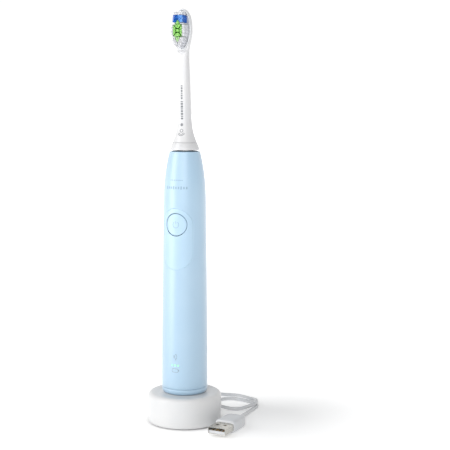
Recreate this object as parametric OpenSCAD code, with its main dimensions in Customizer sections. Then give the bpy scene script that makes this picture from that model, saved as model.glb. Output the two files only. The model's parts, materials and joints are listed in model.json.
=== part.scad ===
// Electric toothbrush standing on its round charger, with the charger's USB cord.
// Millimetres. Z is up, the front (bristles and button) faces -Y, and the origin
// is the centre of the charger's underside, on the surface it stands on.

/* [Charger] */
// Outer radius of the round charger
charger_r = 24; // [20:0.5:30]
// Height of the charger's top face
charger_h = 20; // [16:0.5:26]
// Wall of the charger's shell
charger_wall = 1.8; // [1.2:0.1:2.5]
// Radius of the rounded top edge
charger_edge = 3; // [1:0.1:4]
// Radius of the charging peg
peg_r = 4.2; // [3.8:0.1:5]
// Height of the charging peg above the top face
peg_h = 10.5; // [7:0.5:14]
// Direction in which the cord leaves, in degrees from +X
exit_angle = 66; // [60:1:72]

/* [Handle] */
// Largest outer radius, near the bottom
handle_base_r = 14.9; // [13.6:0.1:17.9]
// Outer radius where the shoulder begins
handle_shoulder_r = 13.8; // [13.2:0.1:16.8]
// Outer radius at the top edge
handle_top_r = 9.8; // [9.4:0.1:11.5]
// Length of the handle, from its underside to its top edge
handle_len = 156.9; // [148:0.5:190]
// Length of the rounded shoulder
shoulder_len = 36; // [30:1:44]
// Height of the bottom cap's visible band
cap_band = 3.9; // [3:0.1:5]
// Radius of the bottom cap's rounded lower edge
cap_edge = 2.4; // [1:0.1:2.8]
// Inner radius of the handle's main bore
bore_r = 12.6; // [12.2:0.1:15]
// Wall of the handle's shoulder
shoulder_wall = 1.4; // [1.1:0.1:1.8]

/* [Button and pad] */
// Radius of the power button
button_r = 7; // [5.5:0.1:7.6]
// Width of the groove around the button
button_gap = 0.4; // [0.3:0.05:0.6]
// Height of the button's centre above the handle's underside
button_up = 110.8; // [100:0.2:114]
// Inward travel of the button
button_travel = 0.5; // [0.3:0.1:0.6]
// Half of the thumb pad's width
pad_half_w = 10.4; // [9:0.1:11]
// Distance between the centres of the pad's two round ends
pad_span = 18.6; // [12:0.2:26]
// Thickness of the thumb pad
pad_t = 0.6; // [0.4:0.05:0.8]

/* [Drive] */
// Radius of the drive shaft
shaft_r = 2; // [1.6:0.1:2.4]
// Length of shaft that stands above the handle
shaft_out = 21; // [17:0.5:24]
// Running clearance between the shaft and what it turns in
run_fit = 0.05; // [0.02:0.01:0.1]
// Radius of the battery cell
cell_r = 7; // [6:0.1:7.2]
// Length of the battery cell
cell_len = 49; // [40:1:50]

/* [Brush head] */
// Gap between the handle's top edge and the brush head
head_gap = 0.9; // [0.6:0.1:1.5]
// Length of the whole brush head
head_len = 88.9; // [80:0.5:107]
// Radius of the brush head's base
head_base_r = 9.4; // [8.8:0.1:11.2]
// Half of the bristle plate's width
plate_half_w = 6.05; // [5:0.05:7.3]
// Thickness of the bristle plate
plate_t = 3.6; // [3:0.1:4.4]
// Length of the bristles
bristle_len = 7.8; // [6.5:0.1:9.4]
// Radius of one tuft of bristles
tuft_r = 0.78; // [0.6:0.02:0.85]
// Distance between tufts
tuft_pitch = 2.1; // [1.9:0.05:2.6]

/* [Cord and plug] */
// Diameter of the cord
cord_d = 2.4; // [2:0.1:2.9]
// Mean radius of the coil
coil_mean_r = 13.2; // [12.6:0.1:13.8]
// Width of the coil's ring of turns
coil_band = 14.4; // [12:0.1:15]
// Width of the metal plug
usb_w = 12; // [12:0.1:12.1]
// Height of the metal plug
usb_h = 4.5; // [4.5:0.1:4.6]
// Length of the metal plug in front of its grip
usb_len = 11.8; // [11.7:0.1:12.2]
// Width of the plug's grip
grip_w = 13.6; // [13:0.2:16]
// Height of the plug's grip
grip_h = 8; // [7:0.2:9]
// Length of the plug's grip
grip_len = 18.6; // [15:0.2:24]

/* [Hidden] */
$fn = 96;
cut = 0.1;
fit = 0.05;
seat_gap = 0.05;

// Charger levels
foot_proud = 0.6;
foot_h = 1.2;
base_t = 1.8;
base_top = foot_proud + base_t;
charger_bore = charger_r - charger_wall;
peg_top = charger_h + peg_h;
peg_wall = 1;
core_r = peg_r - peg_wall - 0.2;
board_z = 6;
board_t = 1.2;
bobbin_r = 12;
bobbin_top = charger_h - charger_wall - 3;
flange_t = 1.2;
exit_z = 4;
relief_len = 5.5;
relief_r = 2.3;
relief_seat = charger_bore + 0.3;

// Handle levels
handle_z = charger_h + seat_gap;
band_z = handle_z + cap_band;
shell_top = handle_z + handle_len;
shoulder_z = shell_top - shoulder_len;
well_r = peg_r + 0.35;
well_wall = 1.2;
well_top = peg_top + 1;
spigot_top = band_z + 6.5;
spigot_r = bore_r - fit;
groove_z = band_z + 2.6;
seal_r = 0.54;
button_z = handle_z + button_up;
pad_low_z = button_z - pad_span;
led_z = handle_z + 19.9;
led_step = 2.1;
led_window_r = 0.55;
nose_r = 8.2;
nose_low = shell_top - 5.4;
lip_low = shell_top - 3.9;
seal_out_r = 6.2;
front_bulkhead_z = shell_top - 17;
front_bulkhead_t = 8;
front_bearing_r = 6.5;
chassis_r = bore_r - 0.4;
chassis_t = 1.2;
chassis_low = well_top + well_wall + 1.5;
chassis_neck_z = shoulder_z - 5;
chassis_neck_r = handle_r(front_bulkhead_z + front_bulkhead_t) - shoulder_wall - 0.3;
cell_y = chassis_r - chassis_t - cell_r - 0.8;
cell_z = chassis_low + 6;
rear_z = cell_z + cell_len + 5;
bearing_t = 4;
rear_bearing_r = 5.5;
stator_r = 7.4;
stator_bore = 5;
stator_z = rear_z + bearing_t + 4;
stator_len = 20;
coil_end = 3.5;
hub_r = 3.4;
magnet_r = 4.6;
main_board_y = -8.8;
main_board_t = 1;
main_board_half_w = 7.5;
shaft_low = rear_z - 1;
shaft_top = shell_top + shaft_out;

// Brush head levels
head_z = shell_top + head_gap;
head_top = head_z + head_len;
collar_h = 4.8;
collar_z = head_z + collar_h;
collar_r = 7.7;
plate_front = -plate_t;
plate_low = head_top - 26;
plate_mid = head_top - 13.1;
rim_up = 13.1;
rim_down = 12.8;
rim_t = 0.8;
socket_r = shaft_r + 1.2;
socket_low = head_z + 2;
socket_top = shaft_top + 1.5;
tip_y = plate_front - bristle_len;

// Cord: places in plan, chosen by hand, with the height of the cord's centre
cord_r = cord_d / 2;
coil_at = [-18, 42.5];
coil_half = coil_band / 2;
coil_high = 2 * (cord_d + 0.05);
tie_t = 0.4;
plug_at = [36, 3.6, grip_h / 2];
plug_turn = -3;
relief_end = charger_r + relief_len;
relief_dir = [cos(exit_angle), sin(exit_angle)];
lead_points = [
    [relief_dir[0] * relief_end, relief_dir[1] * relief_end, exit_z],
    [13.4, 30.3, 3], [16.4, 32.6, 1.8], [20.6, 34.2, 1.2], [24.6, 35.4, 1.5], [28.4, 36.4, 2.6],
    [31.2, 38.4, 3.6], [32.5, 42.4, 3.9], [32.2, 46.4, 3.9], [31.1, 50, 3.8], [28.6, 54.2, 3.5],
    [25, 58.2, 2.6], [20.6, 62.4, 1.7], [16, 65.6, 1.3], [11, 67.3, 1.2], [5.8, 66.8, 1.2],
    [-0.6, 65, 1.4], [-8, 63.4, 2.8], [-15, 62.2, 3.9]];
tail_points = [
    [1.6, 45, 1.6], [2.4, 50, 1.3], [4.4, 54.4, 1.2], [8.4, 57.3, 1.2], [13, 58, 1.2],
    [18, 57.2, 1.2], [22.6, 55.6, 1.2], [26.6, 53.8, 1.2], [30.4, 51.2, 1.2], [32.4, 47.4, 1.2],
    [32.9, 42, 1.2], [32.9, 35, 1.2], [33.5, 26, 1.8], [34.8, 15, 3.1], [36, 3.6, 4]];

// Radius of the handle's outside at height z
function handle_r(z) =
    z < shoulder_z
    ? handle_base_r - (handle_base_r - handle_shoulder_r)
        * pow(max(0, z - band_z) / (shoulder_z - band_z), 1.3)
    : handle_shoulder_r - (handle_shoulder_r - handle_top_r)
        * shoulder_drop((z - shoulder_z) / shoulder_len);

// Share of the shoulder's total drop at a share t of its length
function shoulder_drop(t) = 0.11 * t + 0.89 * pow(t, 2.5);

// Points of an arc in the plane
function arc(centre, r, from, to, steps) =
    [for (i = [0:steps]) centre + r * [cos(from + (to - from) * i / steps),
                                       sin(from + (to - from) * i / steps)]];

// Smooth curve value between b and c, with a and d as the neighbours
function blend(a, b, c, d, t) =
    0.5 * (2 * b + (c - a) * t + (2 * a - 5 * b + 4 * c - d) * t * t
           + (3 * b - a - 3 * c + d) * t * t * t);

// Place at parameter s along a list of points, by a smooth curve through them
function along(points, s) =
    let (n = len(points) - 1,
         i = min(n - 1, floor(s)),
         t = s - i)
    blend(points[max(0, i - 1)], points[i], points[i + 1], points[min(n, i + 2)], t);

function unit(v) = v / norm(v);

// Revolved skin between two depths below the handle's outside
module handle_skin(outer, inner, low, high) {
    steps = 24;
    levels = [for (i = [0:steps]) low + (high - low) * i / steps];
    rotate_extrude()
        polygon(concat([for (z = levels) [handle_r(z) - outer, z]],
                       [for (i = [steps:-1:0]) [handle_r(levels[i]) - inner, levels[i]]]));
}

module ring(outer, inner, low, high) {
    translate([0, 0, low])
        difference() {
            cylinder(r = outer, h = high - low);
            translate([0, 0, -cut])
                cylinder(r = inner, h = high - low + 2 * cut);
        }
}

// Rod along Y from front to back
module rod_y(r, x, z, front, back) {
    translate([x, back, z])
        rotate([90, 0, 0])
            cylinder(r = r, h = back - front);
}

// Block given by its low corner and its high corner
module block(low, high) {
    translate(low)
        cube(high - low);
}

/* ---- charger ---- */

module charger_shell() {
    low = foot_proud - 0.1;
    color("white")
        difference() {
            rotate_extrude()
                polygon(concat(
                    [[0, low], [charger_r - 0.8, low], [charger_r, low + 0.8]],
                    arc([charger_r - charger_edge, charger_h - charger_edge],
                        charger_edge, 0, 90, 8),
                    [[peg_r, charger_h]],
                    arc([peg_r - 1.2, peg_top - 1.2], 1.2, 0, 90, 5),
                    [[0, peg_top]]));
            rotate_extrude()
                polygon([[0, low - cut], [charger_bore, low - cut],
                    [charger_bore, charger_h - charger_wall],
                    [peg_r - peg_wall, charger_h - charger_wall],
                    [peg_r - peg_wall, peg_top - peg_wall], [0, peg_top - peg_wall]]);
            rotate([0, 0, exit_angle])
                translate([charger_bore - 2, 0, exit_z])
                    rotate([0, 90, 0])
                        cylinder(r = relief_r + fit, h = charger_wall + 4);
        }
}

module charger_base() {
    color("gainsboro") {
        difference() {
            translate([0, 0, foot_proud])
                cylinder(r = charger_bore - fit, h = base_t);
            ring(charger_bore - 2, charger_bore - 5.5, foot_proud - cut, foot_h);
        }
        for (i = [0:2])
            rotate([0, 0, 120 * i])
                translate([bobbin_r + 4.5, 0, base_top])
                    cylinder(r = 1.6, h = board_z - base_top);
    }
}

module foot_ring() {
    color("dimgray")
        ring(charger_bore - 2, charger_bore - 5.5, 0, foot_h);
}

module primary_bobbin() {
    color("black")
        difference() {
            union() {
                translate([0, 0, base_top])
                    cylinder(r = bobbin_r, h = flange_t);
                translate([0, 0, base_top])
                    cylinder(r = core_r + 1, h = bobbin_top - base_top);
                translate([0, 0, bobbin_top - flange_t])
                    cylinder(r = bobbin_r, h = flange_t);
            }
            translate([0, 0, base_top - cut])
                cylinder(r = core_r + fit, h = bobbin_top - base_top + 2 * cut);
        }
}

module primary_coil() {
    color("chocolate")
        ring(bobbin_r - 0.8, core_r + 1, base_top + flange_t, bobbin_top - flange_t);
}

module ferrite_core() {
    color("darkslategray")
        translate([0, 0, base_top])
            cylinder(r = core_r, h = peg_top - peg_wall - 0.5 - base_top);
}

module charger_board() {
    color("seagreen")
        ring(charger_bore - 1.5, bobbin_r + 0.8, board_z, board_z + board_t);
}

module charger_chips() {
    color("black")
        for (angle = [100, 160, 215, 280])
            rotate([0, 0, angle])
                block([bobbin_r + 2, -2.5, board_z + board_t], [bobbin_r + 6, 2.5, board_z + board_t + 1.8]);
}

module strain_relief() {
    color("white")
        rotate([0, 0, exit_angle])
            translate([0, 0, exit_z])
                rotate([0, 90, 0])
                    rotate_extrude()
                        polygon([[0, relief_seat], [relief_r, relief_seat],
                            [relief_r, charger_r + 1.5], [cord_r + 0.35, relief_end], [0, relief_end]]);
}

/* ---- cord and plug ---- */

// Tube of the cord's own size along a list of points
module cord_tube(points) {
    sides = 8;
    count = 3 * (len(points) - 1);
    centres = [for (i = [0:count]) along(points, i / 3)];
    rings = [for (i = [0:count])
        let (ahead = unit(centres[min(count, i + 1)] - centres[max(0, i - 1)]),
             side = unit(cross(ahead, [0, 0, 1])),
             lift = cross(side, ahead))
        for (j = [0:sides - 1])
            centres[i] + cord_r * (cos(45 * j + 22.5) * side + sin(45 * j + 22.5) * lift)];
    last = count * sides;
    polyhedron(points = rings, faces = concat(
        [[for (j = [sides - 1:-1:0]) j]],
        [[for (j = [0:sides - 1]) last + j]],
        [for (i = [0:count - 1])
            for (j = [0:sides - 1])
                let (k = (j + 1) % sides)
                each [[i * sides + j, i * sides + k, (i + 1) * sides + k],
                      [i * sides + j, (i + 1) * sides + k, (i + 1) * sides + j]]]));
}

module cord_lead() {
    color("white")
        cord_tube(lead_points);
}

module cord_tail() {
    color("white")
        cord_tube(tail_points);
}

module cord_coil() {
    color("white")
        translate([coil_at[0], coil_at[1], tie_t])
            rotate_extrude()
                translate([coil_mean_r, coil_high / 2])
                    square([2 * coil_half, coil_high], center = true);
}

module cord_tie() {
    color("dimgray")
        translate([coil_at[0], coil_at[1], 0])
            rotate([0, 0, 200])
                difference() {
                    block([coil_mean_r - coil_half - tie_t, -2, 0],
                          [coil_mean_r + coil_half + tie_t, 2, coil_high + 2 * tie_t]);
                    block([coil_mean_r - coil_half - fit, -2 - cut, tie_t],
                          [coil_mean_r + coil_half + fit, 2 + cut, coil_high + tie_t]);
                }
}

// Frame of the plug: the cord enters at the origin and the nose points to -Y
module at_plug() {
    translate(plug_at)
        rotate([0, 0, plug_turn])
            children();
}

module usb_grip() {
    edge = 2;
    color("whitesmoke")
        at_plug()
            difference() {
                hull()
                    for (x = [-1, 1], z = [-1, 1], y = [-grip_len + 0.6, -2])
                        translate([x * (grip_w / 2 - edge), y, z * (grip_h / 2 - edge)])
                            rotate([-90, 0, 0])
                                cylinder(r1 = y == -2 ? edge : edge - 0.6, r2 = y == -2 ? edge - 1.6 : edge,
                                         h = y == -2 ? 2 : 0.6, $fn = 32);
                block([-usb_w / 2 - fit, -grip_len - 1, -usb_h / 2 - fit],
                      [usb_w / 2 + fit, -grip_len + 5, usb_h / 2 + fit]);
            }
}

module usb_shell() {
    wall = 0.3;
    low = -grip_len - usb_len;
    high = -grip_len + 4.9;
    color("silver")
        at_plug()
            difference() {
                block([-usb_w / 2, low, -usb_h / 2], [usb_w / 2, high, usb_h / 2]);
                block([-usb_w / 2 + wall, low - cut, -usb_h / 2 + wall],
                      [usb_w / 2 - wall, high + cut, usb_h / 2 - wall]);
                for (x = [-1, 1])
                    block([x * 2.5 - 1, low + 6.2, -usb_h], [x * 2.5 + 1, low + 8.2, usb_h]);
            }
}

module usb_tongue() {
    color("white")
        at_plug()
            block([-usb_w / 2 + 0.35, -grip_len - usb_len + 0.6, -usb_h / 2 + 0.35],
                  [usb_w / 2 - 0.35, -grip_len + 4.8, -0.1]);
}

module usb_contacts() {
    color("gold")
        at_plug()
            for (x = [-3.5, -1, 1, 3.5])
                block([x - 0.5, -grip_len - usb_len + 1.6, -0.1], [x + 0.5, -grip_len + 3, 0.1]);
}

/* ---- handle ---- */

// Pill outline of the thumb pad, grown by extra, from the handle's axis forwards
module pad_prism(extra) {
    for (z = [pad_low_z, button_z])
        rod_y(pad_half_w + extra, 0, z, -handle_base_r - 1, -4);
    block([-pad_half_w - extra, -handle_base_r - 1, pad_low_z], [pad_half_w + extra, -4, button_z]);
}

module handle_shell() {
    steps = 28;
    low = band_z;
    inner_top = lip_low;
    levels = [for (i = [0:steps]) shoulder_z + (inner_top - shoulder_z) * i / steps];
    color("lightsteelblue")
        difference() {
            rotate_extrude()
                polygon(concat([[0, low]],
                    [for (i = [0:12]) let (z = low + (shoulder_z - low) * i / 12) [handle_r(z), z]],
                    [for (i = [1:18]) let (z = shoulder_z + (shoulder_len - 0.5) * i / 18)
                        [handle_r(z), z]],
                    [[handle_top_r - 0.4, shell_top], [0, shell_top]]));
            rotate_extrude()
                polygon(concat([[0, low - cut], [bore_r, low - cut]],
                    [for (z = levels) [min(bore_r, handle_r(z) - shoulder_wall), z]],
                    [[0, inner_top]]));
            translate([0, 0, inner_top - cut])
                cylinder(r = nose_r, h = shell_top - inner_top + 2 * cut);
            intersection() {
                pad_prism(fit);
                handle_skin(-1, pad_t, pad_low_z - pad_half_w - 2, button_z + pad_half_w + 2);
            }
            rod_y(button_r + button_gap, 0, button_z, -handle_base_r - 1, -4);
            for (i = [-1:1])
                rod_y(led_window_r, i * led_step, led_z, -handle_base_r - 1, -4);
        }
}

module thumb_pad() {
    color("lightsteelblue")
        difference() {
            intersection() {
                pad_prism(0);
                handle_skin(0, pad_t - fit, pad_low_z - pad_half_w - 2, button_z + pad_half_w + 2);
            }
            rod_y(button_r + button_gap, 0, button_z, -handle_base_r - 1, -4);
        }
}

module bottom_cap() {
    color("lightsteelblue")
        difference() {
            rotate_extrude()
                polygon(concat([[0, handle_z]],
                    arc([handle_base_r - cap_edge, handle_z + cap_edge], cap_edge, -90, 0, 8),
                    [[handle_base_r, band_z], [spigot_r, band_z], [spigot_r, groove_z - 0.9],
                     [spigot_r - 1.1, groove_z - 0.9], [spigot_r - 1.1, groove_z + 0.9],
                     [spigot_r, groove_z + 0.9], [spigot_r, spigot_top], [spigot_r - 2, spigot_top],
                     [spigot_r - 2, handle_z + 2.2], [well_r + well_wall, handle_z + 2.2],
                     [well_r + well_wall, well_top + well_wall], [0, well_top + well_wall]]));
            translate([0, 0, handle_z - cut])
                cylinder(r = well_r, h = well_top - handle_z + cut);
        }
}

module cap_seal() {
    color("dimgray")
        rotate_extrude()
            translate([bore_r - seal_r - 0.02, groove_z])
                circle(r = seal_r, $fn = 24);
}

module receiver_coil() {
    color("chocolate")
        ring(spigot_r - 2.2, well_r + well_wall + 0.1, handle_z + 2.2, spigot_top);
}

module nose_ring() {
    color("slategray") {
        ring(nose_r - fit, seal_out_r, lip_low, shell_top + 0.3);
        ring(nose_r + 1, seal_out_r, nose_low, lip_low);
    }
}

module shaft_seal() {
    color("dimgray")
        ring(seal_out_r, shaft_r + run_fit, nose_low + 1, shell_top - 0.4);
}

module chassis() {
    color("lightgray")
        difference() {
            union() {
                difference() {
                    ring(chassis_r, chassis_r - chassis_t, chassis_low, chassis_neck_z);
                    block([-chassis_r - 1, -chassis_r - 1, chassis_low - cut],
                          [chassis_r + 1, -2, chassis_neck_z + cut]);
                }
                difference() {
                    ring(chassis_neck_r, chassis_neck_r - 1.5, chassis_neck_z - 6, front_bulkhead_z);
                    block([-chassis_r - 1, -chassis_r - 1, chassis_neck_z - 6 - cut],
                          [chassis_r + 1, -2, front_bulkhead_z + cut]);
                }
                difference() {
                    ring(chassis_r - chassis_t, chassis_neck_r, chassis_neck_z - 3, chassis_neck_z);
                    block([-chassis_r - 1, -chassis_r - 1, chassis_neck_z - 4],
                          [chassis_r + 1, -2, chassis_neck_z + 1]);
                }
                translate([0, 0, front_bulkhead_z])
                    cylinder(r = chassis_neck_r, h = front_bulkhead_t);
                for (z = [chassis_low, rear_z])
                    difference() {
                        translate([0, 0, z])
                            cylinder(r = chassis_r - chassis_t, h = bearing_t);
                        block([-chassis_r, -chassis_r, z - cut],
                              [chassis_r, main_board_y + main_board_t + 0.1, z + bearing_t + cut]);
                    }
            }
            translate([0, 0, rear_z - cut])
                cylinder(r = rear_bearing_r + fit, h = bearing_t + 2 * cut);
            translate([0, 0, front_bulkhead_z - cut])
                cylinder(r = front_bearing_r + fit, h = front_bulkhead_t + 2 * cut);
        }
}

module front_bearing() {
    color("goldenrod")
        ring(front_bearing_r, shaft_r + run_fit, front_bulkhead_z, front_bulkhead_z + front_bulkhead_t);
}

module rear_bearing() {
    color("goldenrod")
        ring(rear_bearing_r, shaft_r + run_fit, rear_z, rear_z + bearing_t);
}

module stator_core() {
    color("gray")
        ring(stator_r, stator_bore, stator_z, stator_z + stator_len);
}

module stator_coils() {
    color("chocolate") {
        ring(stator_r - 0.2, stator_bore + 0.2, stator_z - coil_end, stator_z);
        ring(stator_r - 0.2, stator_bore + 0.2, stator_z + stator_len, stator_z + stator_len + coil_end);
    }
}

module battery_cell() {
    color("mediumseagreen")
        translate([0, cell_y, cell_z])
            cylinder(r = cell_r, h = cell_len);
}

module battery_tabs() {
    tab_t = 0.3;
    color("silver") {
        block([-2.5, main_board_y + main_board_t, cell_z - tab_t], [2.5, cell_y + 3, cell_z]);
        block([-2.5, main_board_y + main_board_t, cell_z + cell_len],
              [2.5, cell_y + 3, cell_z + cell_len + tab_t]);
    }
}

module main_board() {
    color("seagreen")
        block([-main_board_half_w, main_board_y, chassis_low - 1],
              [main_board_half_w, main_board_y + main_board_t, button_z + 9]);
}

module board_chips() {
    color("black") {
        for (spot = [[0, 34, 6], [3, 48, 4], [-4, 52, 3], [0, 64, 7]])
            block([spot[0] - spot[2] / 2, main_board_y - 1.2, chassis_low + spot[1] - spot[2] / 2],
                  [spot[0] + spot[2] / 2, main_board_y, chassis_low + spot[1] + spot[2] / 2]);
    }
}

module push_switch() {
    color("black") {
        block([-2.6, main_board_y - 1.3, button_z - 2.6], [2.6, main_board_y, button_z + 2.6]);
        rod_y(1.2, 0, button_z, main_board_y - 1.7, main_board_y - 1.3);
    }
}

module status_leds() {
    color("lime")
        for (i = [-1:1])
            block([i * led_step - 0.6, main_board_y - 0.8, led_z - 0.6],
                  [i * led_step + 0.6, main_board_y, led_z + 0.6]);
}

module light_guide() {
    color("honeydew") {
        for (i = [-1:1])
            intersection() {
                rod_y(led_window_r - fit, i * led_step, led_z, -handle_base_r - 1, main_board_y - 2.6);
                handle_skin(0, handle_base_r + main_board_y, led_z - 2, led_z + 2);
            }
        block([-led_step - 1, main_board_y - 2.6, led_z - 0.9], [led_step + 1, main_board_y - 0.9, led_z + 0.9]);
    }
}

module power_button() {
    disc_t = 1.9;
    color("lightsteelblue") {
        intersection() {
            rod_y(button_r, 0, button_z, -handle_base_r - 1, -4);
            handle_skin(0.1, disc_t, button_z - button_r - 1, button_z + button_r + 1);
        }
        rod_y(1.6, 0, button_z, 0.4 + disc_t - handle_r(button_z) - 1,
              main_board_y - 1.75 - button_travel);
    }
}

/* ---- drive ---- */

module drive_shaft() {
    color("silver")
        translate([0, 0, shaft_low])
            cylinder(r = shaft_r, h = shaft_top - shaft_low);
}

module rotor_hub() {
    color("gray")
        ring(hub_r, shaft_r, stator_z - 1, stator_z + stator_len + 1);
}

module rotor_magnets() {
    color("dimgray")
        difference() {
            ring(magnet_r, hub_r, stator_z + 1, stator_z + stator_len - 1);
            for (a = [0, 90])
                rotate([0, 0, a])
                    block([-magnet_r - 1, -0.5, stator_z], [magnet_r + 1, 0.5, stator_z + stator_len]);
        }
}

/* ---- brush head ---- */

module collar_ring() {
    inner_low = head_base_r - 1.7;
    color("white")
        rotate_extrude()
            polygon(concat(
                [[inner_low, head_z], [head_base_r - 0.3, head_z], [head_base_r, head_z + 0.3]],
                [for (i = [1:8]) let (t = i / 8)
                    [head_base_r - (head_base_r - collar_r) * pow(t, 1.4), head_z + 0.3 + (collar_h - 0.3) * t]],
                [[collar_r - 1.5, collar_z], [inner_low - 1, collar_z - 1]]));
}

// Sections of the neck and plate: distance below the head's top, half width, front and back
neck_sections = [
    [head_top - collar_z, collar_r, -collar_r, collar_r],
    [78.9, 5.84, -5.84, 5.84], [73.7, 4.8, -4.8, 4.8], [68.4, 4.35, -4.5, 4.25],
    [58, 4.25, -4.9, 3], [42, 4, -5.1, 1.6], [28.8, 3.7, -5, 0.5],
    [24.7, 4.1, -4.9, 0.1], [19.7, 5.2, -4.9, 0], [16, 5.9, -4.9, 0],
    [13.1, plate_half_w, -4.9, 0], [8.7, 5.8, -4.9, 0], [4.7, 4.9, -4.9, -0.1],
    [1.7, 3.2, -4.8, -0.6], [0.4, 1.5, -4.2, -1.5], [0, 0.4, -3.4, -2.4]];

// One ring of the neck: an oval that grows squarer towards the plate
function neck_ring(s) =
    let (v = along(neck_sections, s),
         z = head_top - max(0, v[0]),
         square = 2 + 1.4 * min(1, max(0, (z - collar_z - 15) / 30)),
         half = max(0.3, v[1]),
         mid = (v[2] + v[3]) / 2,
         deep = (v[3] - v[2]) / 2)
    [for (j = [0:31])
        let (c = cos(j * 11.25), n = sin(j * 11.25))
        [half * sign(c) * pow(abs(c), 2 / square), mid + deep * sign(n) * pow(abs(n), 2 / square), z]];

module neck_solid() {
    sides = 32;
    count = 3 * (len(neck_sections) - 1);
    rings = [for (i = [0:count]) each neck_ring(i / 3)];
    last = count * sides;
    polyhedron(points = rings, faces = concat(
        [[for (j = [0:sides - 1]) j]],
        [[for (j = [sides - 1:-1:0]) last + j]],
        [for (i = [0:count - 1])
            for (j = [0:sides - 1])
                let (k = (j + 1) % sides)
                each [[i * sides + j, (i + 1) * sides + k, i * sides + k],
                      [i * sides + j, (i + 1) * sides + j, (i + 1) * sides + k]]]));
}

module head_neck() {
    color("white")
        difference() {
            neck_solid();
            block([-10, plate_front - 10, plate_low - 0.6], [10, plate_front, head_top + 5]);
            translate([0, 0, collar_z - cut])
                cylinder(r1 = collar_r - 1.5, r2 = socket_r + 0.05, h = 5);
            translate([0, 0, collar_z])
                cylinder(r = socket_r + 0.05, h = socket_top - collar_z);
        }
}

// Half width of the soft rim at a height above the plate's middle, a distance in from its edge
function rim_half(up, inset) =
    let (t = up / ((up > 0 ? rim_up : rim_down) - inset))
    (plate_half_w - inset) * sqrt(max(0, 1 - t * t)) * (1 - 0.1 * max(0, -t));

// Greatest distance of a tuft's centre from the middle line, in the row at that height
function field_half(up) =
    min(rim_half(up, rim_t) - tuft_r,
        rim_half(up + sign(up) * 0.8 * tuft_r, rim_t) - 0.75 * tuft_r) - fit;

module rim_outline(inset) {
    steps = 36;
    polygon([for (i = [0:steps - 1])
        let (c = cos(360 * i / steps), n = sin(360 * i / steps))
        [(plate_half_w - inset) * c * (1 - 0.1 * max(0, -n)),
         plate_mid + ((n > 0 ? rim_up : rim_down) - inset) * n]]);
}

module soft_rim() {
    color("lightblue")
        translate([0, plate_front + 1.6, 0])
            rotate([90, 0, 0])
                linear_extrude(height = 2.4)
                    difference() {
                        rim_outline(0);
                        rim_outline(rim_t);
                    }
}

module head_socket() {
    color("ivory")
        difference() {
            translate([0, 0, socket_low])
                cylinder(r = socket_r, h = socket_top - socket_low);
            translate([0, 0, socket_low - cut])
                cylinder(r = shaft_r + run_fit, h = shaft_top + 0.5 - socket_low + cut);
        }
}

module socket_clip() {
    color("silver")
        ring(socket_r + 0.7, socket_r, socket_low + 0.5, socket_low + 3);
}

module id_tag() {
    color("darkorange")
        ring(socket_r + 2.2, socket_r + 1.2, socket_low, socket_low + 0.6);
}

// Every tuft as [x, height above the plate's middle, colour]
tuft_rows = 11;
tufts = [for (i = [0:tuft_rows - 1])
    let (up = (i - (tuft_rows - 1) / 2) * tuft_pitch,
         half = field_half(up),
         count = floor(2 * max(0, half) / tuft_pitch) + 1)
    for (j = [0:count - 1])
        let (x = (j - (count - 1) / 2) * tuft_pitch)
        [x, up, tuft_colour(x, up)]];

// Blue across the top, green in the middle, white elsewhere
function tuft_colour(x, up) =
    up > 3.6 && up < 8.8 && abs(x) > (up < 5.2 ? 1.2 : -1) ? 2
    : abs(x) < 2.4 && up > -5.6 && up < 3.6 ? 1
    : abs(x) < 1.2 && up > -7.5 && up < 5.2 ? 1
    : 0;

module tuft_group(colour) {
    for (t = tufts)
        if (t[2] == colour)
            rod_y(tuft_r, t[0], plate_mid + t[1], tip_y, plate_front);
}

module white_bristles() {
    color("white")
        tuft_group(0);
}

module green_bristles() {
    color("lightgreen")
        tuft_group(1);
}

module blue_bristles() {
    color("royalblue")
        tuft_group(2);
}

charger_shell();
charger_base();
foot_ring();
primary_bobbin();
primary_coil();
ferrite_core();
charger_board();
charger_chips();
strain_relief();
cord_lead();
cord_coil();
cord_tail();
cord_tie();
usb_grip();
usb_shell();
usb_tongue();
usb_contacts();
handle_shell();
thumb_pad();
bottom_cap();
cap_seal();
receiver_coil();
nose_ring();
shaft_seal();
chassis();
front_bearing();
rear_bearing();
stator_core();
stator_coils();
battery_cell();
battery_tabs();
main_board();
board_chips();
push_switch();
status_leds();
light_guide();
power_button();
drive_shaft();
rotor_hub();
rotor_magnets();
collar_ring();
head_neck();
soft_rim();
head_socket();
socket_clip();
id_tag();
white_bristles();
blue_bristles();
green_bristles();
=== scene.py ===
import json
from math import asin, copysign, cos, hypot, pi, radians, sin, sqrt

import bmesh
import bpy
from mathutils import Euler, Matrix, Vector
from mathutils.geometry import delaunay_2d_cdt


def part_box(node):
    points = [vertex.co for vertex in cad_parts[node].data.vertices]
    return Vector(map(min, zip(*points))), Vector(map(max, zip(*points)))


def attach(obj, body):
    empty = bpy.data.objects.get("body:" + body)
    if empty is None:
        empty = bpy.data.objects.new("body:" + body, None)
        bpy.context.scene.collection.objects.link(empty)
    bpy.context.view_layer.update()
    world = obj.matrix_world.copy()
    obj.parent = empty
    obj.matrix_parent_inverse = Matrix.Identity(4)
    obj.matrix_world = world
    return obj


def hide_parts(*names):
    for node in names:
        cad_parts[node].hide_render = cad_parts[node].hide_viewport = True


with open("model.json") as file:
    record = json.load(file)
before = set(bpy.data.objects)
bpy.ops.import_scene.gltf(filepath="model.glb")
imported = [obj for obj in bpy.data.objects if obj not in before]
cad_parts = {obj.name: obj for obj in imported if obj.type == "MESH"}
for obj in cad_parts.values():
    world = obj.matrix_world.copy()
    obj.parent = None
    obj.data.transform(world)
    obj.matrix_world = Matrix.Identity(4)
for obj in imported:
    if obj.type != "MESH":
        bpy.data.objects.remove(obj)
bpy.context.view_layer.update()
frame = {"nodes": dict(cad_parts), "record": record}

mm = 0.001
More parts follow.
